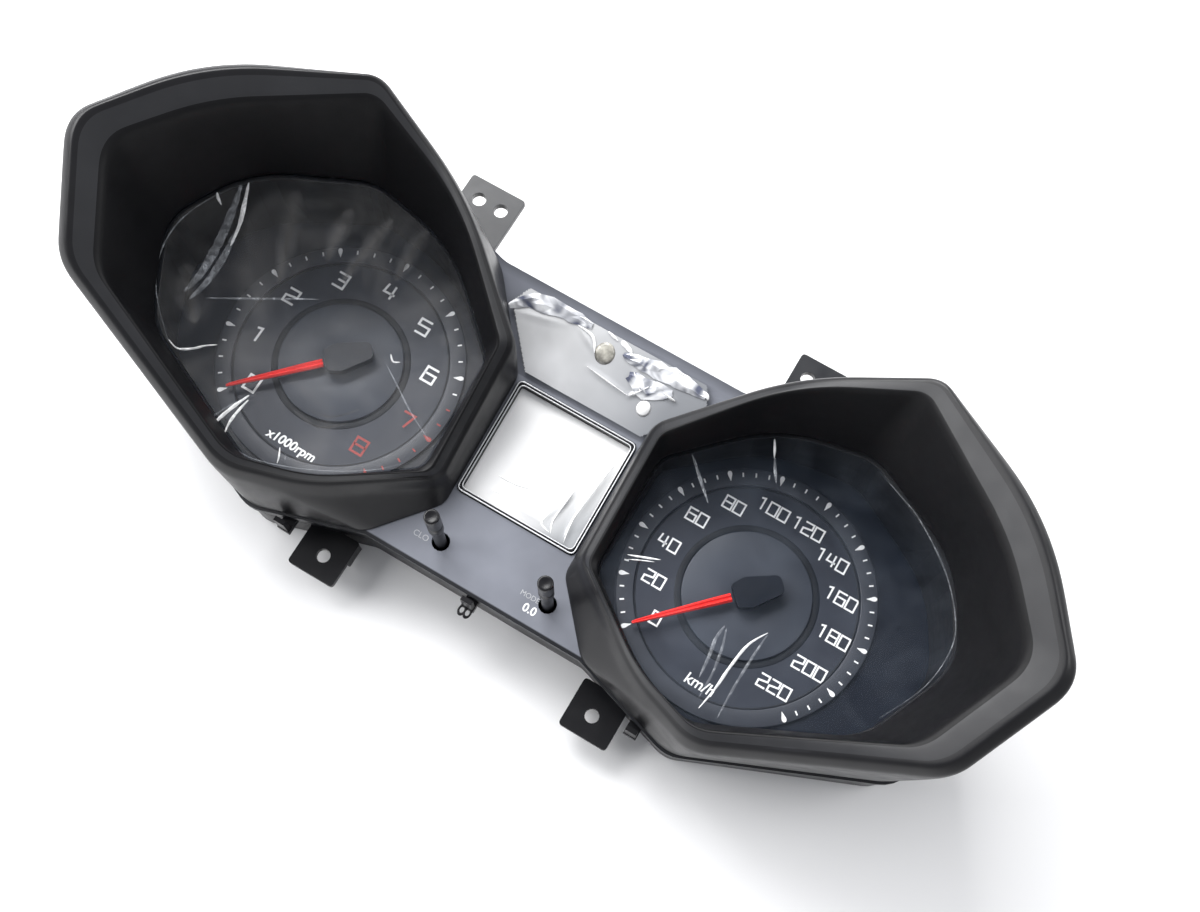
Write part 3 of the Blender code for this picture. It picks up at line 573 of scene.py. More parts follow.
def print_mesh(name, strokes, bottom, thickness=0.06):
    """Printed lines with a slight thickness; strokes are (left, right) point lists."""
    top = bottom + thickness
    vertices, faces = [], []
    for left, right in strokes:
        rings = [[(a.x, a.y, bottom), (b.x, b.y, bottom), (b.x, b.y, top), (a.x, a.y, top)]
                 for a, b in zip(left, right)]
        is_loop = (left[0] - left[-1]).length <= 0.001
        points, sides = skin(rings, closed=False) if is_loop else capped_skin(rings)
        first = len(vertices)
        vertices += points
        faces += [tuple(first + k for k in side) for side in sides]
    return mesh_from(name, vertices, faces)


def number_strokes(text, x, y, width, height, line):
    """Strokes of a number centred on a point."""
    step = width + DIGIT_GAP
    start = x - (len(text) * step - DIGIT_GAP) / 2
    made = []
    for k, character in enumerate(text):
        for path in GLYPHS[character]:
            placed = [(start + k * step + u * width, y + (v - 0.5) * height) for u, v in path]
            made.append(stroke(placed, line))
    return made


def polar(x, radius, degrees):
    """A point at a radius and angle round (x, 0)."""
    turn = math.radians(degrees)
    return Vector((x + radius * math.cos(turn), radius * math.sin(turn)))


def teardrop(x, degrees, inner, outer, width):
    """A drop-shaped mark that points at the pivot, as a (left, right) pair of edges."""
    shares = ((0.0, 0.08), (0.3, 0.45), (0.55, 0.85), (0.75, 1.0), (0.9, 0.8), (1.0, 0.35))
    across = Vector((-math.sin(math.radians(degrees)), math.cos(math.radians(degrees))))
    left, right = [], []
    for along, share in shares:
        middle = polar(x, inner + (outer - inner) * along, degrees)
        left.append(middle + across * width / 2 * share)
        right.append(middle - across * width / 2 * share)
    return left, right


def print_groups(kind, label, groups, bottom, thickness=0.06):
    """One printed piece for each colour that has strokes."""
    for colour, strokes in groups.items():
        if strokes:
            mesh = print_mesh(kind, strokes, bottom, thickness)
            piece("%s_%s_%s" % (kind, colour, label), mesh, PRINT_COLOURS[colour],
                  smooth=False)


def make_scale(label, side):
    """Long and short marks round the raised ring of one dial."""
    values, degrees, red_from = DIALS[label][:3]
    x = side * PIVOT_X
    groups = {"white": [], "red": []}
    for k in range((len(values) - 1) * MARKS_PER_NUMBER + 1):
        value = k / MARKS_PER_NUMBER
        angle = ZERO_ANGLE - degrees * value
        colour = "red" if value >= red_from else "white"
        if k % MARKS_PER_NUMBER == 0:
            groups[colour].append(teardrop(x, angle, *LONG_MARK))
        else:
            inner, outer, width = SHORT_MARK
            groups[colour].append(stroke([polar(x, inner, angle), polar(x, outer, angle)], width))
    print_groups("scale_marks", label, groups, RING_TOP + 0.02, 0.09)


def make_numbers(label, side):
    """The printed numbers of one dial."""
    values, degrees, red_from, width, height, line = DIALS[label]
    groups = {"white": [], "red": []}
    for k, value in enumerate(values):
        place = polar(side * PIVOT_X, NUMBER_RADIUS, ZERO_ANGLE - degrees * k)
        colour = "red" if k >= red_from else "white"
        groups[colour] += number_strokes(value, place.x, place.y, width, height, line)
    print_groups("numbers", label, groups, DIAL_Z + 0.03)


def lettering(name, text, place, width, material, tilt=0.0, slant=0.0, heavy=0.0):
    """Small generic lettering lying on a surface that rises along Y by the given slope."""
    curve = bpy.data.curves.new(name, "FONT")
    curve.body = text
    curve.size = 5 * MM
    curve.shear = slant
    curve.offset = heavy * MM
    curve.extrude = 0.03 * MM
    curve.align_x = "CENTER"
    curve.align_y = "CENTER"
    holder = added(name, curve)
    bpy.context.view_layer.update()
    mesh = bpy.data.meshes.new_from_object(holder.evaluated_get(bpy.context.evaluated_depsgraph_get()))
    bpy.data.objects.remove(holder)
    mesh.materials.clear()
    reach = [vertex.co.x for vertex in mesh.vertices]
    grow = width * MM / (max(reach) - min(reach))
    mesh.transform(Matrix.Diagonal((grow, grow, 1, 1)))
    mesh.transform(Matrix.Translation(Vector(place) * MM) @ Matrix.Rotation(math.atan(tilt), 4, "X"))
    piece(name, mesh, material, smooth=False)


def ring_mesh(name, x, inner, outer, bottom, top, steps=96):
    """A flat ring with softened upper edges."""
    soft = min(0.25, (outer - inner) / 4)
    profile = ((inner, bottom), (inner, top - soft / 3), (inner + soft, top),
               (outer - soft, top), (outer, top - soft / 3), (outer, bottom))
    rings = []
    for radius, height in profile:
        rings.append([(*polar(x, radius, 360 * k / steps), height) for k in range(steps)])
    return mesh_from(name, *skin(rings))


def make_needle(label, side):
    """A tapering blade with two ridges and a groove between them."""
    stations = ((6.0, 1.55, 1.5), (12.0, 1.5, 1.5), (30.0, 1.05, 1.2), (40.0, 0.7, 0.9), (41.8, 0.5, 0.5))
    profile = ((-1, 0), (-1, 0.55), (-0.5, 1.0), (0, 0.55), (0.5, 1.0), (1, 0.55), (1, 0))
    rings = []
    for reach, half, height in stations:
        rings.append([(reach, half * u, NEEDLE_FOOT + height * v) for u, v in profile])
    name = "pointer_blade_" + label
    mesh = mesh_from(name, *capped_skin(rings))
    mesh.transform(Matrix.Translation((side * PIVOT_X * MM, 0, 0))
                   @ Matrix.Rotation(math.radians(ZERO_ANGLE), 4, "Z"))
    blade = piece(name, mesh, RED, "pointer_" + label, smooth=False,
                  stands_for=["needle_" + label])
    bevel(blade, 0.08, 1, 20)


# Raised rings, and the dark rings painted as shadow in the grooves beside them, as (name, inner, outer,
# bottom, top, finish, CAD node that it stands for)
DIAL_RINGS = (
    ("disc_groove_shadow", 23.15, 25.6, PRINT_Z, DIAL_Z + 0.12, GROOVE_SHADOW, None),
    ("scale_groove_shadow", 39.1, 39.9, PRINT_Z, DIAL_Z + 0.1, GROOVE_SHADOW, None),
    ("scale_band", 40.0, 46.0, RING_FOOT, RING_TOP, RING, "scale_ring"),
    ("hub_disc", 2.0, 23.0, RING_FOOT, RING_TOP, DISC, "centre_disc"),
)


def make_dial(label, side):
    """The raised rings of one dial, the painted groove shadows beside them, and its needle."""
    for name, inner, outer, bottom, top, material, node in DIAL_RINGS:
        mesh = ring_mesh(name, side * PIVOT_X, inner, outer, bottom, top)
        stands_for = [node + "_" + label] if node else ()
        piece(name + "_" + label, mesh, material, stands_for=stands_for)
    make_needle(label, side)


# ---- film on the lenses

def smooth_line(path, steps=6):
    """Points along a smooth curve through every point of a path."""
    points = [Vector(p) for p in path]
    line = []
    for i, (a, b) in enumerate(zip(points, points[1:])):
        before = points[max(i - 1, 0)]
        after = points[min(i + 2, len(points) - 1)]
        for k in range(steps):
            t = k / steps
            line.append(0.5 * ((2 * a) + (b - before) * t + (2 * before - 5 * a + 4 * b - after) * t * t
                               + (3 * a - before - 3 * b + after) * t ** 3))
    line.append(points[-1])
    return line


def ribbon(name, path, width, material, height, lift, arch=0.25):
    """A tapered crease standing on a surface: path points are (x, y), height gives the surface."""
    section = ((-1, 0.0), (-0.4, 0.8), (0.1, 1.0), (1, 0.0))
    line = smooth_line(path)
    rows = []
    for i, here in enumerate(line):
        along = (line[min(i + 1, len(line) - 1)] - line[max(i - 1, 0)]).normalized()
        across = Vector((-along.y, along.x))
        t = i / (len(line) - 1)
        swell = math.sin(math.pi * min(1.0, max(0.0, 0.04 + 0.94 * t))) ** 0.7
        wobble = 1 + 0.35 * noise.noise(Vector((here.x * 0.4, here.y * 0.4, 3.0)))
        half = width / 2 * swell * wobble
        row = []
        for share, rise in section:
            p = here + across * half * share
            row.append((p.x, p.y, height(p.x, p.y) + lift + arch * rise * swell))
        rows.append(row)
    vertices = [v for row in rows for v in row]
    faces = []
    count = len(section)
    for r in range(len(rows) - 1):
        for a in range(count * r, count * r + count - 1):
            faces.append((a, a + 1, a + count + 1, a + count))
    piece(name, mesh_from(name, vertices, faces), material)


def make_lens_film(label, side):
    """A thin, slightly puckered film over the lens."""
    shape = grown(rounded(LENS_OUTLINE), -0.6)
    middle = sum(shape, Vector((0, 0))) / len(shape)
    rings = []
    steps = 12
    for k in range(steps):
        share = 1 - k / steps
        ring = []
        for p in shape:
            q = middle + (p - middle) * share
            pucker = 0.35 * noise.noise(Vector((q.x * 0.06, q.y * 0.06, side * 5.0)))
            pucker += 0.12 * noise.noise(Vector((q.x * 0.2, q.y * 0.2, side * 9.0)))
            ring.append(Vector((side * q.x, q.y, lens_height(q.x, q.y) + FILM_LIFT + pucker)))
        rings.append(ring)
    vertices, faces = skin(rings, closed=False)
    centre = len(vertices)
    vertices.append(Vector((side * middle.x, middle.y, lens_height(middle.x, middle.y) + FILM_LIFT)))
    count = len(shape)
    last = centre - count
    faces += [(last + i, last + (i + 1) % count, centre) for i in range(count)]
    film = piece("lens_film_" + label, mesh_from("film", vertices, faces), LENS_FILMS[label])
    subdivide(film, 1)


# Creases as (name, points, width, finish), white along their crests as painted highlights; painted glare as
# (name, points, width), built up from narrowing layers
LEFT_CREASES = (
    ("fold_a", [(-137.4, 31.0), (-134.9, 24.0), (-132.6, 17.0), (-131.4, 9.0)], 1.5, CREASE_HIGHLIGHT),
    ("fold_b", [(-132.6, 17.0), (-131.4, 4.2), (-131.8, -6.1), (-133.8, -14.2)], 2.4, FAINT_HIGHLIGHT),
    ("fold_c", [(-139.2, 29.0), (-137.0, 19.0), (-135.4, 8.0), (-135.0, -4.0), (-136.6, -13.0)], 3.2,
     FAINT_HIGHLIGHT),
    ("hook", [(-144.8, 22.2), (-143.6, 20.8), (-141.3, 19.3)], 1.0, CREASE_HIGHLIGHT),
    ("edge_top", [(-143.9, 22.6), (-148.6, 13.0), (-150.9, 4.0), (-150.3, -6.0), (-146.2, -15.6),
                  (-140.8, -22.4), (-132.3, -30.2)], 0.5, FAINT_HIGHLIGHT),
    ("edge_wave", [(-132.6, -29.6), (-128.5, -30.6), (-124.2, -28.0), (-121.0, -24.8), (-117.6, -22.2)],
     0.8, CREASE_HIGHLIGHT),
    ("zero_a", [(-99.5, -31.0), (-102.2, -37.6), (-104.0, -43.0), (-104.8, -47.0)], 1.3, CREASE_HIGHLIGHT),
    ("zero_b", [(-98.9, -32.5), (-100.0, -38.0), (-100.4, -42.5), (-99.9, -46.6)], 1.0, CREASE_HIGHLIGHT),
    ("zero_c", [(-100.6, -33.0), (-104.4, -39.8), (-107.0, -45.6)], 0.6, FAINT_HIGHLIGHT),
    ("lower_edge", [(-99.4, -48.6), (-92.0, -49.2), (-85.9, -48.4), (-75.3, -44.6), (-62.2, -38.0),
                    (-50.0, -29.8), (-43.0, -23.0)], 0.45, FAINT_HIGHLIGHT),
    ("pull", [(-65.0, 3.6), (-57.5, -0.9), (-50.6, -5.2), (-43.8, -8.6), (-38.5, -11.0)], 0.6, FAINT_HIGHLIGHT),
    ("nick_a", [(-65.4, 7.4), (-63.4, 5.6), (-61.2, 6.8)], 0.6, CREASE_HIGHLIGHT),
    ("nick_b", [(-81.4, -40.4), (-80.0, -43.4), (-79.4, -45.6)], 0.6, CREASE_HIGHLIGHT),
    ("nick_c", [(-78.6, -41.2), (-77.6, -43.4)], 0.5, FAINT_HIGHLIGHT),
    ("haze", [(-129.0, -10.6), (-118.0, -3.8), (-107.0, 3.2), (-96.2, 10.0)], 0.8, FAINT_HIGHLIGHT),
)
RIGHT_CREASES = (
    ("spike", [(67.0, 46.8), (68.8, 43.6), (70.1, 40.9)], 0.8, CREASE_HIGHLIGHT),
    ("spike_tail", [(70.1, 41.2), (72.6, 37.0), (75.0, 33.4)], 1.0, FAINT_HIGHLIGHT),
    ("slip", [(44.7, 29.8), (51.0, 23.8), (58.0, 17.2)], 1.2, FAINT_HIGHLIGHT),
    ("dash_a", [(42.6, -10.9), (48.0, -9.2), (53.6, -7.3)], 0.7, CREASE_HIGHLIGHT),
    ("dash_b", [(43.4, -12.3), (48.0, -10.4), (52.2, -8.9)], 0.4, CREASE_HIGHLIGHT),
    ("vee_a", [(97.3, -12.6), (93.6, -19.0), (92.0, -28.0), (91.2, -37.0), (89.7, -45.0)], 1.0, CREASE_HIGHLIGHT),
    ("vee_b", [(97.5, -13.4), (96.8, -22.0), (96.4, -34.0), (96.6, -45.0)], 1.0, FAINT_HIGHLIGHT),
    ("fan_a", [(83.8, -17.0), (83.2, -22.0), (84.2, -28.4), (84.8, -36.0)], 1.3, FAINT_HIGHLIGHT),
    ("fan_b", [(84.6, -17.4), (86.6, -24.0), (88.0, -33.0), (88.0, -42.0)], 1.0, FAINT_HIGHLIGHT),
    ("far_edge", [(103.0, 51.6), (112.0, 47.8), (122.0, 43.0), (136.6, 31.8), (146.3, 20.2), (150.4, 10.0),
                  (149.0, -4.8), (141.4, -20.4)], 0.45, FAINT_HIGHLIGHT),
)
# Beams, glints and a glow of painted glare over the left lens, each in narrowing layers.
GLARE_LAYERS = (1.0, 0.72, 0.45, 0.2)
LEFT_GLARES = (
    ("beam_a", [(-102.8, 43.0), (-102.5, 33.0), (-101.1, 23.0)], 7.0),
    ("beam_b", [(-89.0, 47.5), (-91.1, 35.3), (-92.6, 20.0)], 6.0),
    ("beam_c", [(-76.7, 51.0), (-77.6, 43.0), (-77.3, 30.0)], 7.0),
    ("beam_d", [(-122.0, 38.0), (-117.9, 26.4), (-111.0, 7.0)], 8.0),
    ("glint_a", [(-80.5, -24.2), (-71.7, -22.0), (-64.6, -14.1)], 1.0),
    ("glint_b", [(-84.0, -27.0), (-74.0, -27.5), (-66.0, -21.0)], 1.6),
    ("glow", [(-141.0, -4.0), (-136.0, -12.0), (-128.0, -20.0)], 9.0),
)


def make_creases(label, creases, glares=()):
    """The film's creases over one lens, painted white as highlights, then its painted glare."""
    for name, path, width, material in creases:
        ribbon("film_%s_%s" % (label, name), path, width, material, lens_height, 0.55)
    for name, path, width in glares:
        for layer, share in enumerate(GLARE_LAYERS):
            ribbon("veil_%s_%s_%d" % (label, name, layer), path, width * share, GLARE, lens_height,
                   0.1 + 0.02 * layer, 0.02)


# ---- centre

def sheet_on(name, x0, x1, y0, y1, height, bulge, material, across, rows, inside=None):
    """A film as a grid over a surface; bulge gives its height above that surface."""
    vertices, faces, index = [], [], {}
    for r in range(rows + 1):
        for c in range(across + 1):
            x = x0 + (x1 - x0) * c / across
            y = y0 + (y1 - y0) * r / rows
            if inside is None or inside(x, y):
                index[r, c] = len(vertices)
                vertices.append((x, y, height(x, y) + bulge(x, y)))
    for r in range(rows):
        for c in range(across):
            corners = [(r, c), (r, c + 1), (r + 1, c + 1), (r + 1, c)]
            if all(k in index for k in corners):
                faces.append(tuple(index[k] for k in corners))
    piece(name, mesh_from(name, vertices, faces), material)


def crease_bump(x, y, lines):
    """Height of sharp-crested creases; lines are (start, end, width, height)."""
    total = 0.0
    for start, end, width, height in lines:
        a, b = Vector(start), Vector(end)
        along = b - a
        t = max(0.0, min(1.0, (Vector((x, y)) - a).dot(along) / along.length_squared))
        away = (Vector((x, y)) - a - along * t).length / width
        if away < 1:
            total += height * (1 - away) ** 1.6 * math.sin(math.pi * (0.1 + 0.8 * t))
    return total


# Streaks as (name, points, width), white ribbons painted as highlights along the creases; creases as (start,
# end, width, height)
LCD_HIGHLIGHT_STREAKS = (
    ("a", [(20.9, 19.1), (19.0, 7.7), (17.6, -6.4), (18.9, -14.8)], 0.9),
    ("b", [(12.8, 3.6), (12.5, -2.0), (11.6, -9.8), (13.1, -14.4)], 0.8),
    ("c", [(13.0, 1.3), (10.2, -4.5), (8.1, -12.3), (12.4, -14.2)], 0.9),
    ("d", [(-12.9, -11.4), (-7.2, -10.6), (0.1, -10.2), (8.9, -12.5)], 0.9),
    ("e", [(-13.8, -5.8), (-6.6, -5.4), (-0.2, -3.7)], 0.6),
)
LCD_CREASES = (
    ((20.9, 19.1), (17.8, -6.4), 2.6, 0.7), ((17.8, -6.4), (18.9, -15.0), 2.0, 0.6),
    ((12.8, 3.6), (11.6, -9.8), 1.8, 0.6), ((13.0, 1.3), (8.1, -12.3), 1.8, 0.6),
    ((6.0, 12.0), (2.0, -10.0), 5.0, 0.35), ((-8.0, 18.0), (-14.0, -4.0), 6.0, 0.3),
    ((-12.9, -11.4), (8.9, -12.5), 2.5, 0.5),
)


def loop_tube(name, outline, lift, thick, material, sides=10):
    """A round bead that follows an outline on the display's plane."""
    rings = []
    for k in range(sides):
        turn = 2 * math.pi * k / sides
        loop = grown(outline, thick * math.cos(turn))
        rings.append(on_plane(loop, LCD_PLANE, lift + thick * math.sin(turn)))
    piece(name, mesh_from(name, *skin(rings)), material)


def make_display():
    """The film on the display, its streaks painted white as highlights, and the two bright lines round it,
    painted as highlights on the bezel's edges.
    """
    x0, x1, y0, y1 = LCD_BOX
    margin = 1.7

    def bulge(x, y):
        waves = 0.2 * noise.noise(Vector((x * 0.09, y * 0.09, 1.0)))
        return -LCD_FILM_DEPTH + waves + crease_bump(x, y, LCD_CREASES)

    def film_top(x, y):
        return lcd_height(x, y) + bulge(x, y)

    sheet_on("display_film", x0 + margin, x1 - margin, y0 + margin, y1 - margin, lcd_height, bulge,
             LCD_FILM, 90, 90)
    for name, path, width in LCD_HIGHLIGHT_STREAKS:
        ribbon("display_highlight_streak_" + name, path, width, STREAK_HIGHLIGHT, film_top, 0.05)
    # Painted highlights: two pale beads along the bezel's outer and inner edges.
    for name, inset, thick in (("outer", 0.30, 0.26), ("inner", 1.35, 0.20)):
        outline = oblong(x0 + inset, x1 - inset, y0 + inset, y1 - inset, 2.0)
        loop_tube("display_edge_highlight_" + name, outline, 0.80, thick, BEZEL_EDGE_HIGHLIGHT)


WINDOW_CREASES = (
    ((-38.0, 46.0), (-19.0, 50.0), 2.5, 0.5), ((-14.6, 51.8), (-3.9, 46.3), 2.0, 0.8),
    ((11.3, 47.3), (17.7, 41.8), 1.6, 1.1), ((18.5, 45.5), (13.4, 39.7), 1.6, 1.0),
    ((-4.8, 41.5), (13.4, 39.7), 1.8, 0.5), ((24.2, 46.1), (29.4, 45.5), 1.5, 0.8),
)
# White streaks painted as highlights along the window film's creases
WINDOW_HIGHLIGHT_STREAKS = (
    ("arc", [(-14.6, 51.8), (-7.9, 50.8), (-4.6, 46.3)], 1.0),
    ("cross", [(11.3, 47.3), (14.5, 44.0), (17.7, 41.8)], 0.9),
    ("cross_back", [(18.5, 45.5), (16.5, 42.5), (13.4, 39.7)], 0.8),
    ("diagonal", [(-4.8, 41.5), (3.0, 40.6), (13.4, 39.7)], 0.5),
    ("dash", [(24.2, 46.1), (26.8, 45.6), (29.4, 45.5)], 0.7),
    ("tip", [(36.4, 52.6), (38.2, 52.0), (39.4, 51.0)], 1.6),
    ("bit_a", [(-3.8, 54.8), (-1.5, 54.2), (1.0, 53.6)], 0.9),
    ("bit_b", [(2.0, 54.0), (4.0, 53.6), (7.4, 52.4)], 1.9),
    ("bit_c", [(23.0, 54.6), (26.0, 54.2), (30.0, 54.6)], 0.8),
)
# Crumpled bands as (name, points, width, seed); beads as (name, x, y, (radius, height) points, finish)
WINDOW_CRUMPLES = (
    ("left", [(-40.6, 46.6), (-35.1, 51.4), (-24.8, 53.4), (-10.1, 53.9)], 5.4, 11),
    ("right", [(5.0, 50.6), (14.0, 51.2), (25.4, 52.1), (38.1, 51.6)], 5.8, 23),
    ("low", [(10.0, 45.5), (19.0, 44.5), (27.0, 47.0)], 7.0, 37),
)
WINDOW_BEADS = (
    ("film_tack", -1.3, 48.1, ((0.4, 0.75), (1.6, 0.62), (2.8, 0.32), (3.7, 0.0)), BUBBLE),
    # The drop is painted white as a highlight.
    ("film_drop", 20.4, 38.6, ((0.3, 0.9), (1.3, 0.75), (2.1, 0.4), (2.7, 0.0)), STREAK_HIGHLIGHT),
)


def window_surface(x, y):
    """Height of the silver film over the warning window."""
    waves = 0.25 * noise.noise(Vector((x * 0.08, y * 0.08, 2.0)))
    return mask_top(y) + WINDOW_FILM_LIFT + waves + crease_bump(x, y, WINDOW_CREASES)


def crumpled_strip(name, path, width, seed):
    """A band of sharp random facets along a path, where the film has been pushed together."""
    dice = random.Random(seed)
    points = [Vector(p) for p in path]
    lengths = [(b - a).length for a, b in zip(points, points[1:])]
    facet = 2.6
    steps = int(sum(lengths) / facet)
    vertices, faces = [], []
    across = 4
    for i in range(steps + 1):
        goal = sum(lengths) * i / steps
        k = 0
        while k < len(lengths) - 1 and goal > lengths[k]:
            goal -= lengths[k]
            k += 1
        middle = points[k].lerp(points[k + 1], min(1.0, goal / lengths[k]))
        along = (points[k + 1] - points[k]).normalized()
        side = Vector((-along.y, along.x))
        taper = math.sin(math.pi * (0.12 + 0.76 * i / steps))
        for j in range(across):
            share = j / (across - 1) - 0.5 + dice.uniform(-0.08, 0.08)
            p = middle + side * width * taper * share + along * dice.uniform(-0.5, 0.5)
            rise = 0.35 if j in (0, across - 1) else dice.uniform(0.3, 1.3)
            vertices.append((p.x, p.y, window_surface(p.x, p.y) + rise))
    for i in range(steps):
        for j in range(across - 1):
            a = i * across + j
            b, c, d = a + 1, a + across + 1, a + across
            faces += [(a, b, c), (a, c, d)] if dice.random() < 0.5 else [(a, b, d), (b, c, d)]
    piece(name, mesh_from(name, vertices, faces), CRUMPLE_REFLECTIONS, smooth=False)


def make_window_film():
    """The silver film over the warning window, with its creases, its streaks painted white as highlights, its
    crumples painted with reflections, and its beads.
    """
    (x0, y0), (x1, y1), (x2, y2) = WINDOW_OUTLINE

    def edge_at(y):
        if y <= y1:
            return x0 + (x1 - x0) * (y - y0) / (y1 - y0)
        return x1 + (x2 - x1) * (y - y1) / (y2 - y1)

    def inside(x, y):
        return y0 - FILM_MARGIN <= y <= y2 + 1.4 and abs(x) <= edge_at(y) + FILM_MARGIN

    sheet_on("window_film", -41.5, 41.5, 30.2, 55.4, window_surface, lambda x, y: 0.0, SILVER,
             150, 60, inside)
    for name, path, width in WINDOW_HIGHLIGHT_STREAKS:
        ribbon("window_highlight_streak_" + name, path, width, STREAK_HIGHLIGHT, window_surface, 0.3, 0.5)
    for name, path, width, seed in WINDOW_CRUMPLES:
        crumpled_strip("window_crumple_" + name, path, width, seed)
    for name, x, y, profile, material in WINDOW_BEADS:
        mesh = turned_mesh(name, x, y, profile, 36)
        for vertex in mesh.vertices:
            px, py, pz = vertex.co / MM
            vertex.co.z = (pz + window_surface(px, py) + 0.05) * MM
        piece(name, mesh, material)


# ---- buttons and small parts

# Half section of a setting pin as (radius, height), from its crown down to its foot on the switch
PIN_PROFILE = ((0.9, 65.7), (1.6, 65.95), (2.2, 66.0), (2.55, 65.85), (2.8, 65.4), (2.8, 56.0), (2.72, 55.8),
               (2.72, 55.4), (2.8, 55.2), (2.8, 49.4), (2.6, 48.8), (2.2, 48.2), (2.2, 23.6), (3.6, 23.4),
               (3.6, 21.8), (1.2, 21.7), (1.2, 20.8))


def make_button(label, place):
    """One setting pin, with its grip groove and its collar."""
    name = "setting_pin_" + label
    pin = piece(name, turned_mesh(name, *place, PIN_PROFILE), BLACK,
                "setting_button_" + label, stands_for=["button_" + label])
    bevel(pin, 0.12, 2, 25)


def make_spring(label, place):
    """The button's return spring as a round-wire coil."""
    x, y = place
    radius, wire, low, high, turns = 2.6, 0.22, 17.7, 21.5, 3
    steps = turns * 24
    rings = []
    for k in range(steps + 1):
        height = low + wire + (high - low - 2 * wire) * k / steps
        rings.append(wire_ring(x, y, height, radius, wire, 2 * math.pi * turns * k / steps))
    name = "return_spring_" + label
    spring = piece(name, mesh_from(name, *capped_skin(rings)), STEEL,
                   stands_for=["button_spring_" + label])
    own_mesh(spring)


def blocks(name, places, half, bottom, top):
    """Small square blocks of one size, set down at several places."""
    corners = ((-1, -1), (1, -1), (1, 1), (-1, 1))
    vertices, faces = [], []
    for place in places:
        a = len(vertices)
        vertices += [(place.x + half * i, place.y + half * j, z) for z in (bottom, top) for i, j in corners]
        faces += [(a + 3, a + 2, a + 1, a), (a + 4, a + 5, a + 6, a + 7)]
        faces += [(a + i, a + (i + 1) % 4, a + 4 + (i + 1) % 4, a + 4 + i) for i in range(4)]
    return mesh_from(name, vertices, faces)


def make_board_parts(label, side):
    """Surface-mounted lamps round each motor, and an arc of small chips beside them."""
    foot = BOARD_TOP + 0.02
    lamps = [polar(side * PIVOT_X, 28.0, 30 * k) for k in range(12)]
    mesh = blocks("board_lamps_" + label, lamps, 1.4, foot, BOARD_TOP + 1.1)
    piece("board_lamps_" + label, mesh, MILK, smooth=False)
    arc = [polar(0, 38.0, 100 + 10 * k) for k in range(8)]
    chips = [Vector((side * (PIVOT_X + p.x), p.y)) for p in arc]
    mesh = blocks("board_chips_" + label, chips, 1.1, foot, BOARD_TOP + 0.8)
    piece("board_chips_" + label, mesh, BLACK, smooth=False)


def make_clip(x, y, z):
    """The little snap clip on the housing's middle hook: two small loops side by side."""
    wire, half_width, stretch, steps = 0.4, 1.15, 1.5, 28
    for name, shift in (("clip_loop_a", -half_width), ("clip_loop_b", half_width)):
        rings = []
        for k in range(steps):
            turn = 2 * math.pi * k / steps
            rings.append(wire_ring(x + shift, y, z, half_width, wire, turn, stretch))
        piece(name, mesh_from(name, *skin(rings)), BLACK)


# ---- carried-over nodes

def dress(names, material, width=0.0, segments=2):
    """Gives CAD nodes their material, and rounds their edges where a width is given."""
    for name in names:
        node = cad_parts[name]
        node.data.materials.clear()
        node.data.materials.append(material)
        if width:
            bevel(node, width, segments)


def both(*names):
    """Left and right node of each name."""
    return [name + "_" + label for name in names for label in SIDES]


dress(["front_mask"], MASK, 0.35)
dress(["housing", "back_cover"], BLACK, 0.3)
dress(["lcd_bezel"], BLACK, 0.2)
dress(both("hub_cap"), CAP, 0.5, 3)
dress(both("dial_face"), DIAL)
# The dial surround takes the funnel's painted shade.
dress(both("dial_surround"), SHADED_FUNNEL, 0.2)
dress(both("lens"), LENS)
dress(both("light_guide") + ["warning_light_box", "lcd_backlight"], MILK, 0.2)
dress(["lcd_glass"], PANEL, 0.1)
dress(["warning_window"], PANEL, 0.2)
dress(["circuit_board"], BOARD, 0.1)
dress(["connector_pins"], GOLD, 0.08)
dress(["connector_socket", "processor", "warning_buzzer"] + both("stepper_motor", "button_switch"), BLACK,
      0.25)
dress(both("capacitor", "needle_shaft"), STEEL)
dress(["screw_%d" % number for number in range(1, 7)], STEEL, 0.12)

for label, side in SIDES.items():
    make_hood(label, side)
    make_dial(label, side)
    make_lens_film(label, side)
    make_button(label, BUTTON_PLACES[label])
    make_spring(label, BUTTON_PLACES[label])
    make_board_parts(label, side)
for make in (make_scale, make_numbers):
    for label, side in SIDES.items():
        make(label, side)
make_creases("left", LEFT_CREASES, LEFT_GLARES)
make_creases("right", RIGHT_CREASES)
make_display()
make_clip(*CLIP_PLACE)
make_window_film()

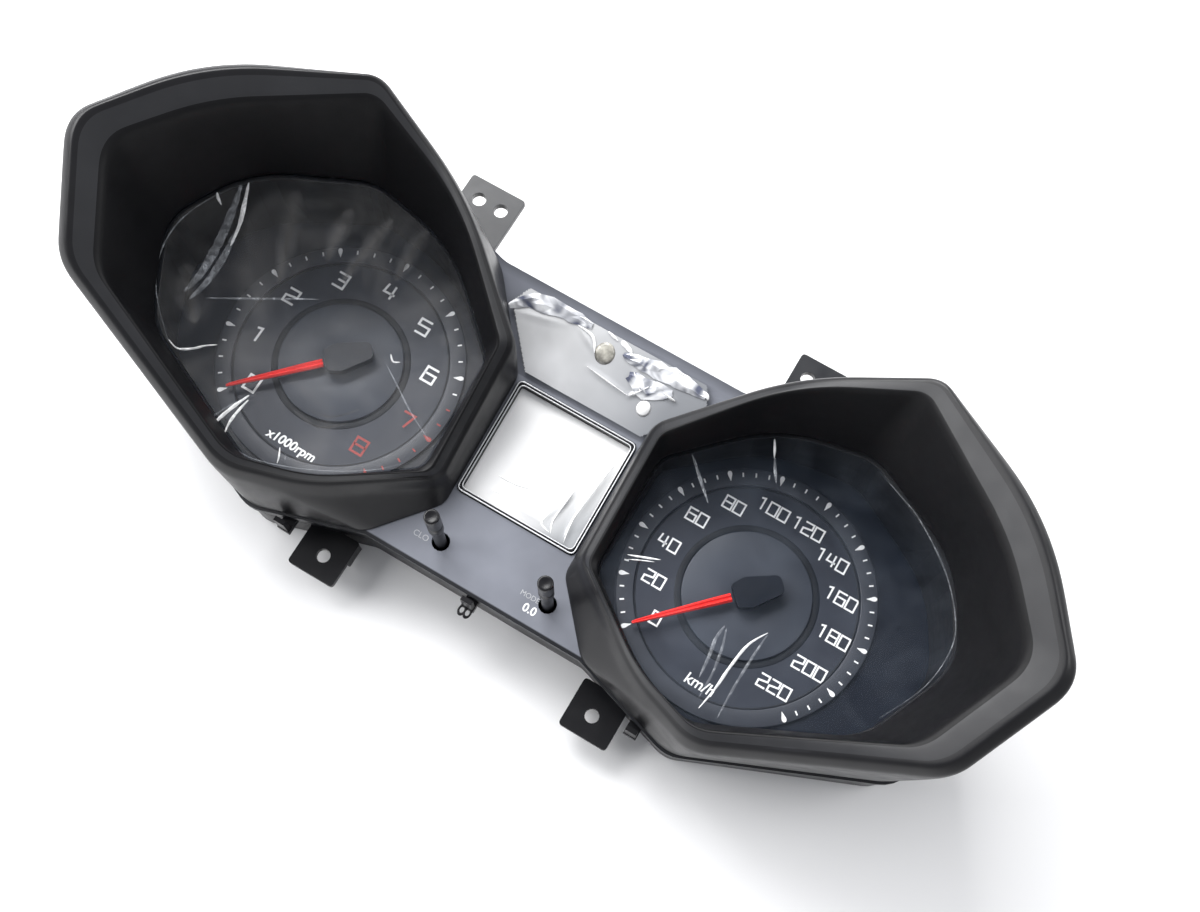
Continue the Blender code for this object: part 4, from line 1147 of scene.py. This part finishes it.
for name, text, x, width, heavy in (("unit_left", "x1000rpm", -83.0, 20.5, 0.12),
                                    ("unit_right", "km/h", 86.0, 11.0, 0.06)):
    place = (x, -35.6, DIAL_Z + 0.08)
    lettering(name, text, place, width, WHITE, slant=0.12, heavy=heavy)
for name, text, x, y, width, material, heavy in (("label_clock", "CLO", -26.9, -38.4, 6.0, LABEL, 0.0),
                                                 ("label_mode", "MODE", 18.6, -37.6, 7.4, LABEL, 0.0),
                                                 ("label_reset", "0.0", 20.8, -41.6, 5.2, WHITE, 0.1)):
    place = (x, y, mask_top(y) + 0.05)
    lettering(name, text, place, width, material, MASK_SLOPE, heavy=heavy)


# ---- studio

def soft_lamp(name, place, target, size, power):
    """A rectangular lamp that looks at a target."""
    data = bpy.data.lights.new(name, "AREA")
    data.shape = "RECTANGLE"
    data.size, data.size_y = size
    data.energy = power
    lamp = added(name, data)
    lamp.location = place
    lamp.rotation_mode = "QUATERNION"
    lamp.rotation_quaternion = (Vector(target) - Vector(place)).to_track_quat("-Z", "Y")


floor_mesh = bpy.data.meshes.new("floor")
floor_corners = [(FLOOR_HALF * u, FLOOR_HALF * v, FLOOR_Z) for u, v in ((-1, -1), (1, -1), (1, 1), (-1, 1))]
floor_mesh.from_pydata(floor_corners, [], [(0, 1, 2, 3)])
floor_mesh.materials.append(finish("floor_paper", (0.88, 0.88, 0.885), 0.8, spread=0.01, mottle=120,
                                   bump=0.05))
floor = added("floor", floor_mesh)

world = bpy.data.worlds.new("studio")
bpy.context.scene.world = world
world.use_nodes = True
sky = world.node_tree.nodes["Background"]
sky.inputs["Color"].default_value = SKY_COLOUR
sky.inputs["Strength"].default_value = SKY_STRENGTH
for lamp in LAMPS:
    soft_lamp(*lamp)

camera_data = bpy.data.cameras.new("camera")
camera_data.sensor_width = SENSOR_WIDTH
camera_data.lens = FOCAL_LENGTH
camera = added("camera", camera_data)
camera.rotation_mode = "QUATERNION"
camera_axes = Matrix((CAMERA_RIGHT, CAMERA_UP, CAMERA_BACK)).transposed()
camera.rotation_quaternion = camera_axes.to_quaternion()
camera.location = CAMERA_PLACE
bpy.context.scene.camera = camera
bpy.context.scene.view_settings.view_transform = "Standard"

bpy.context.view_layer.update()
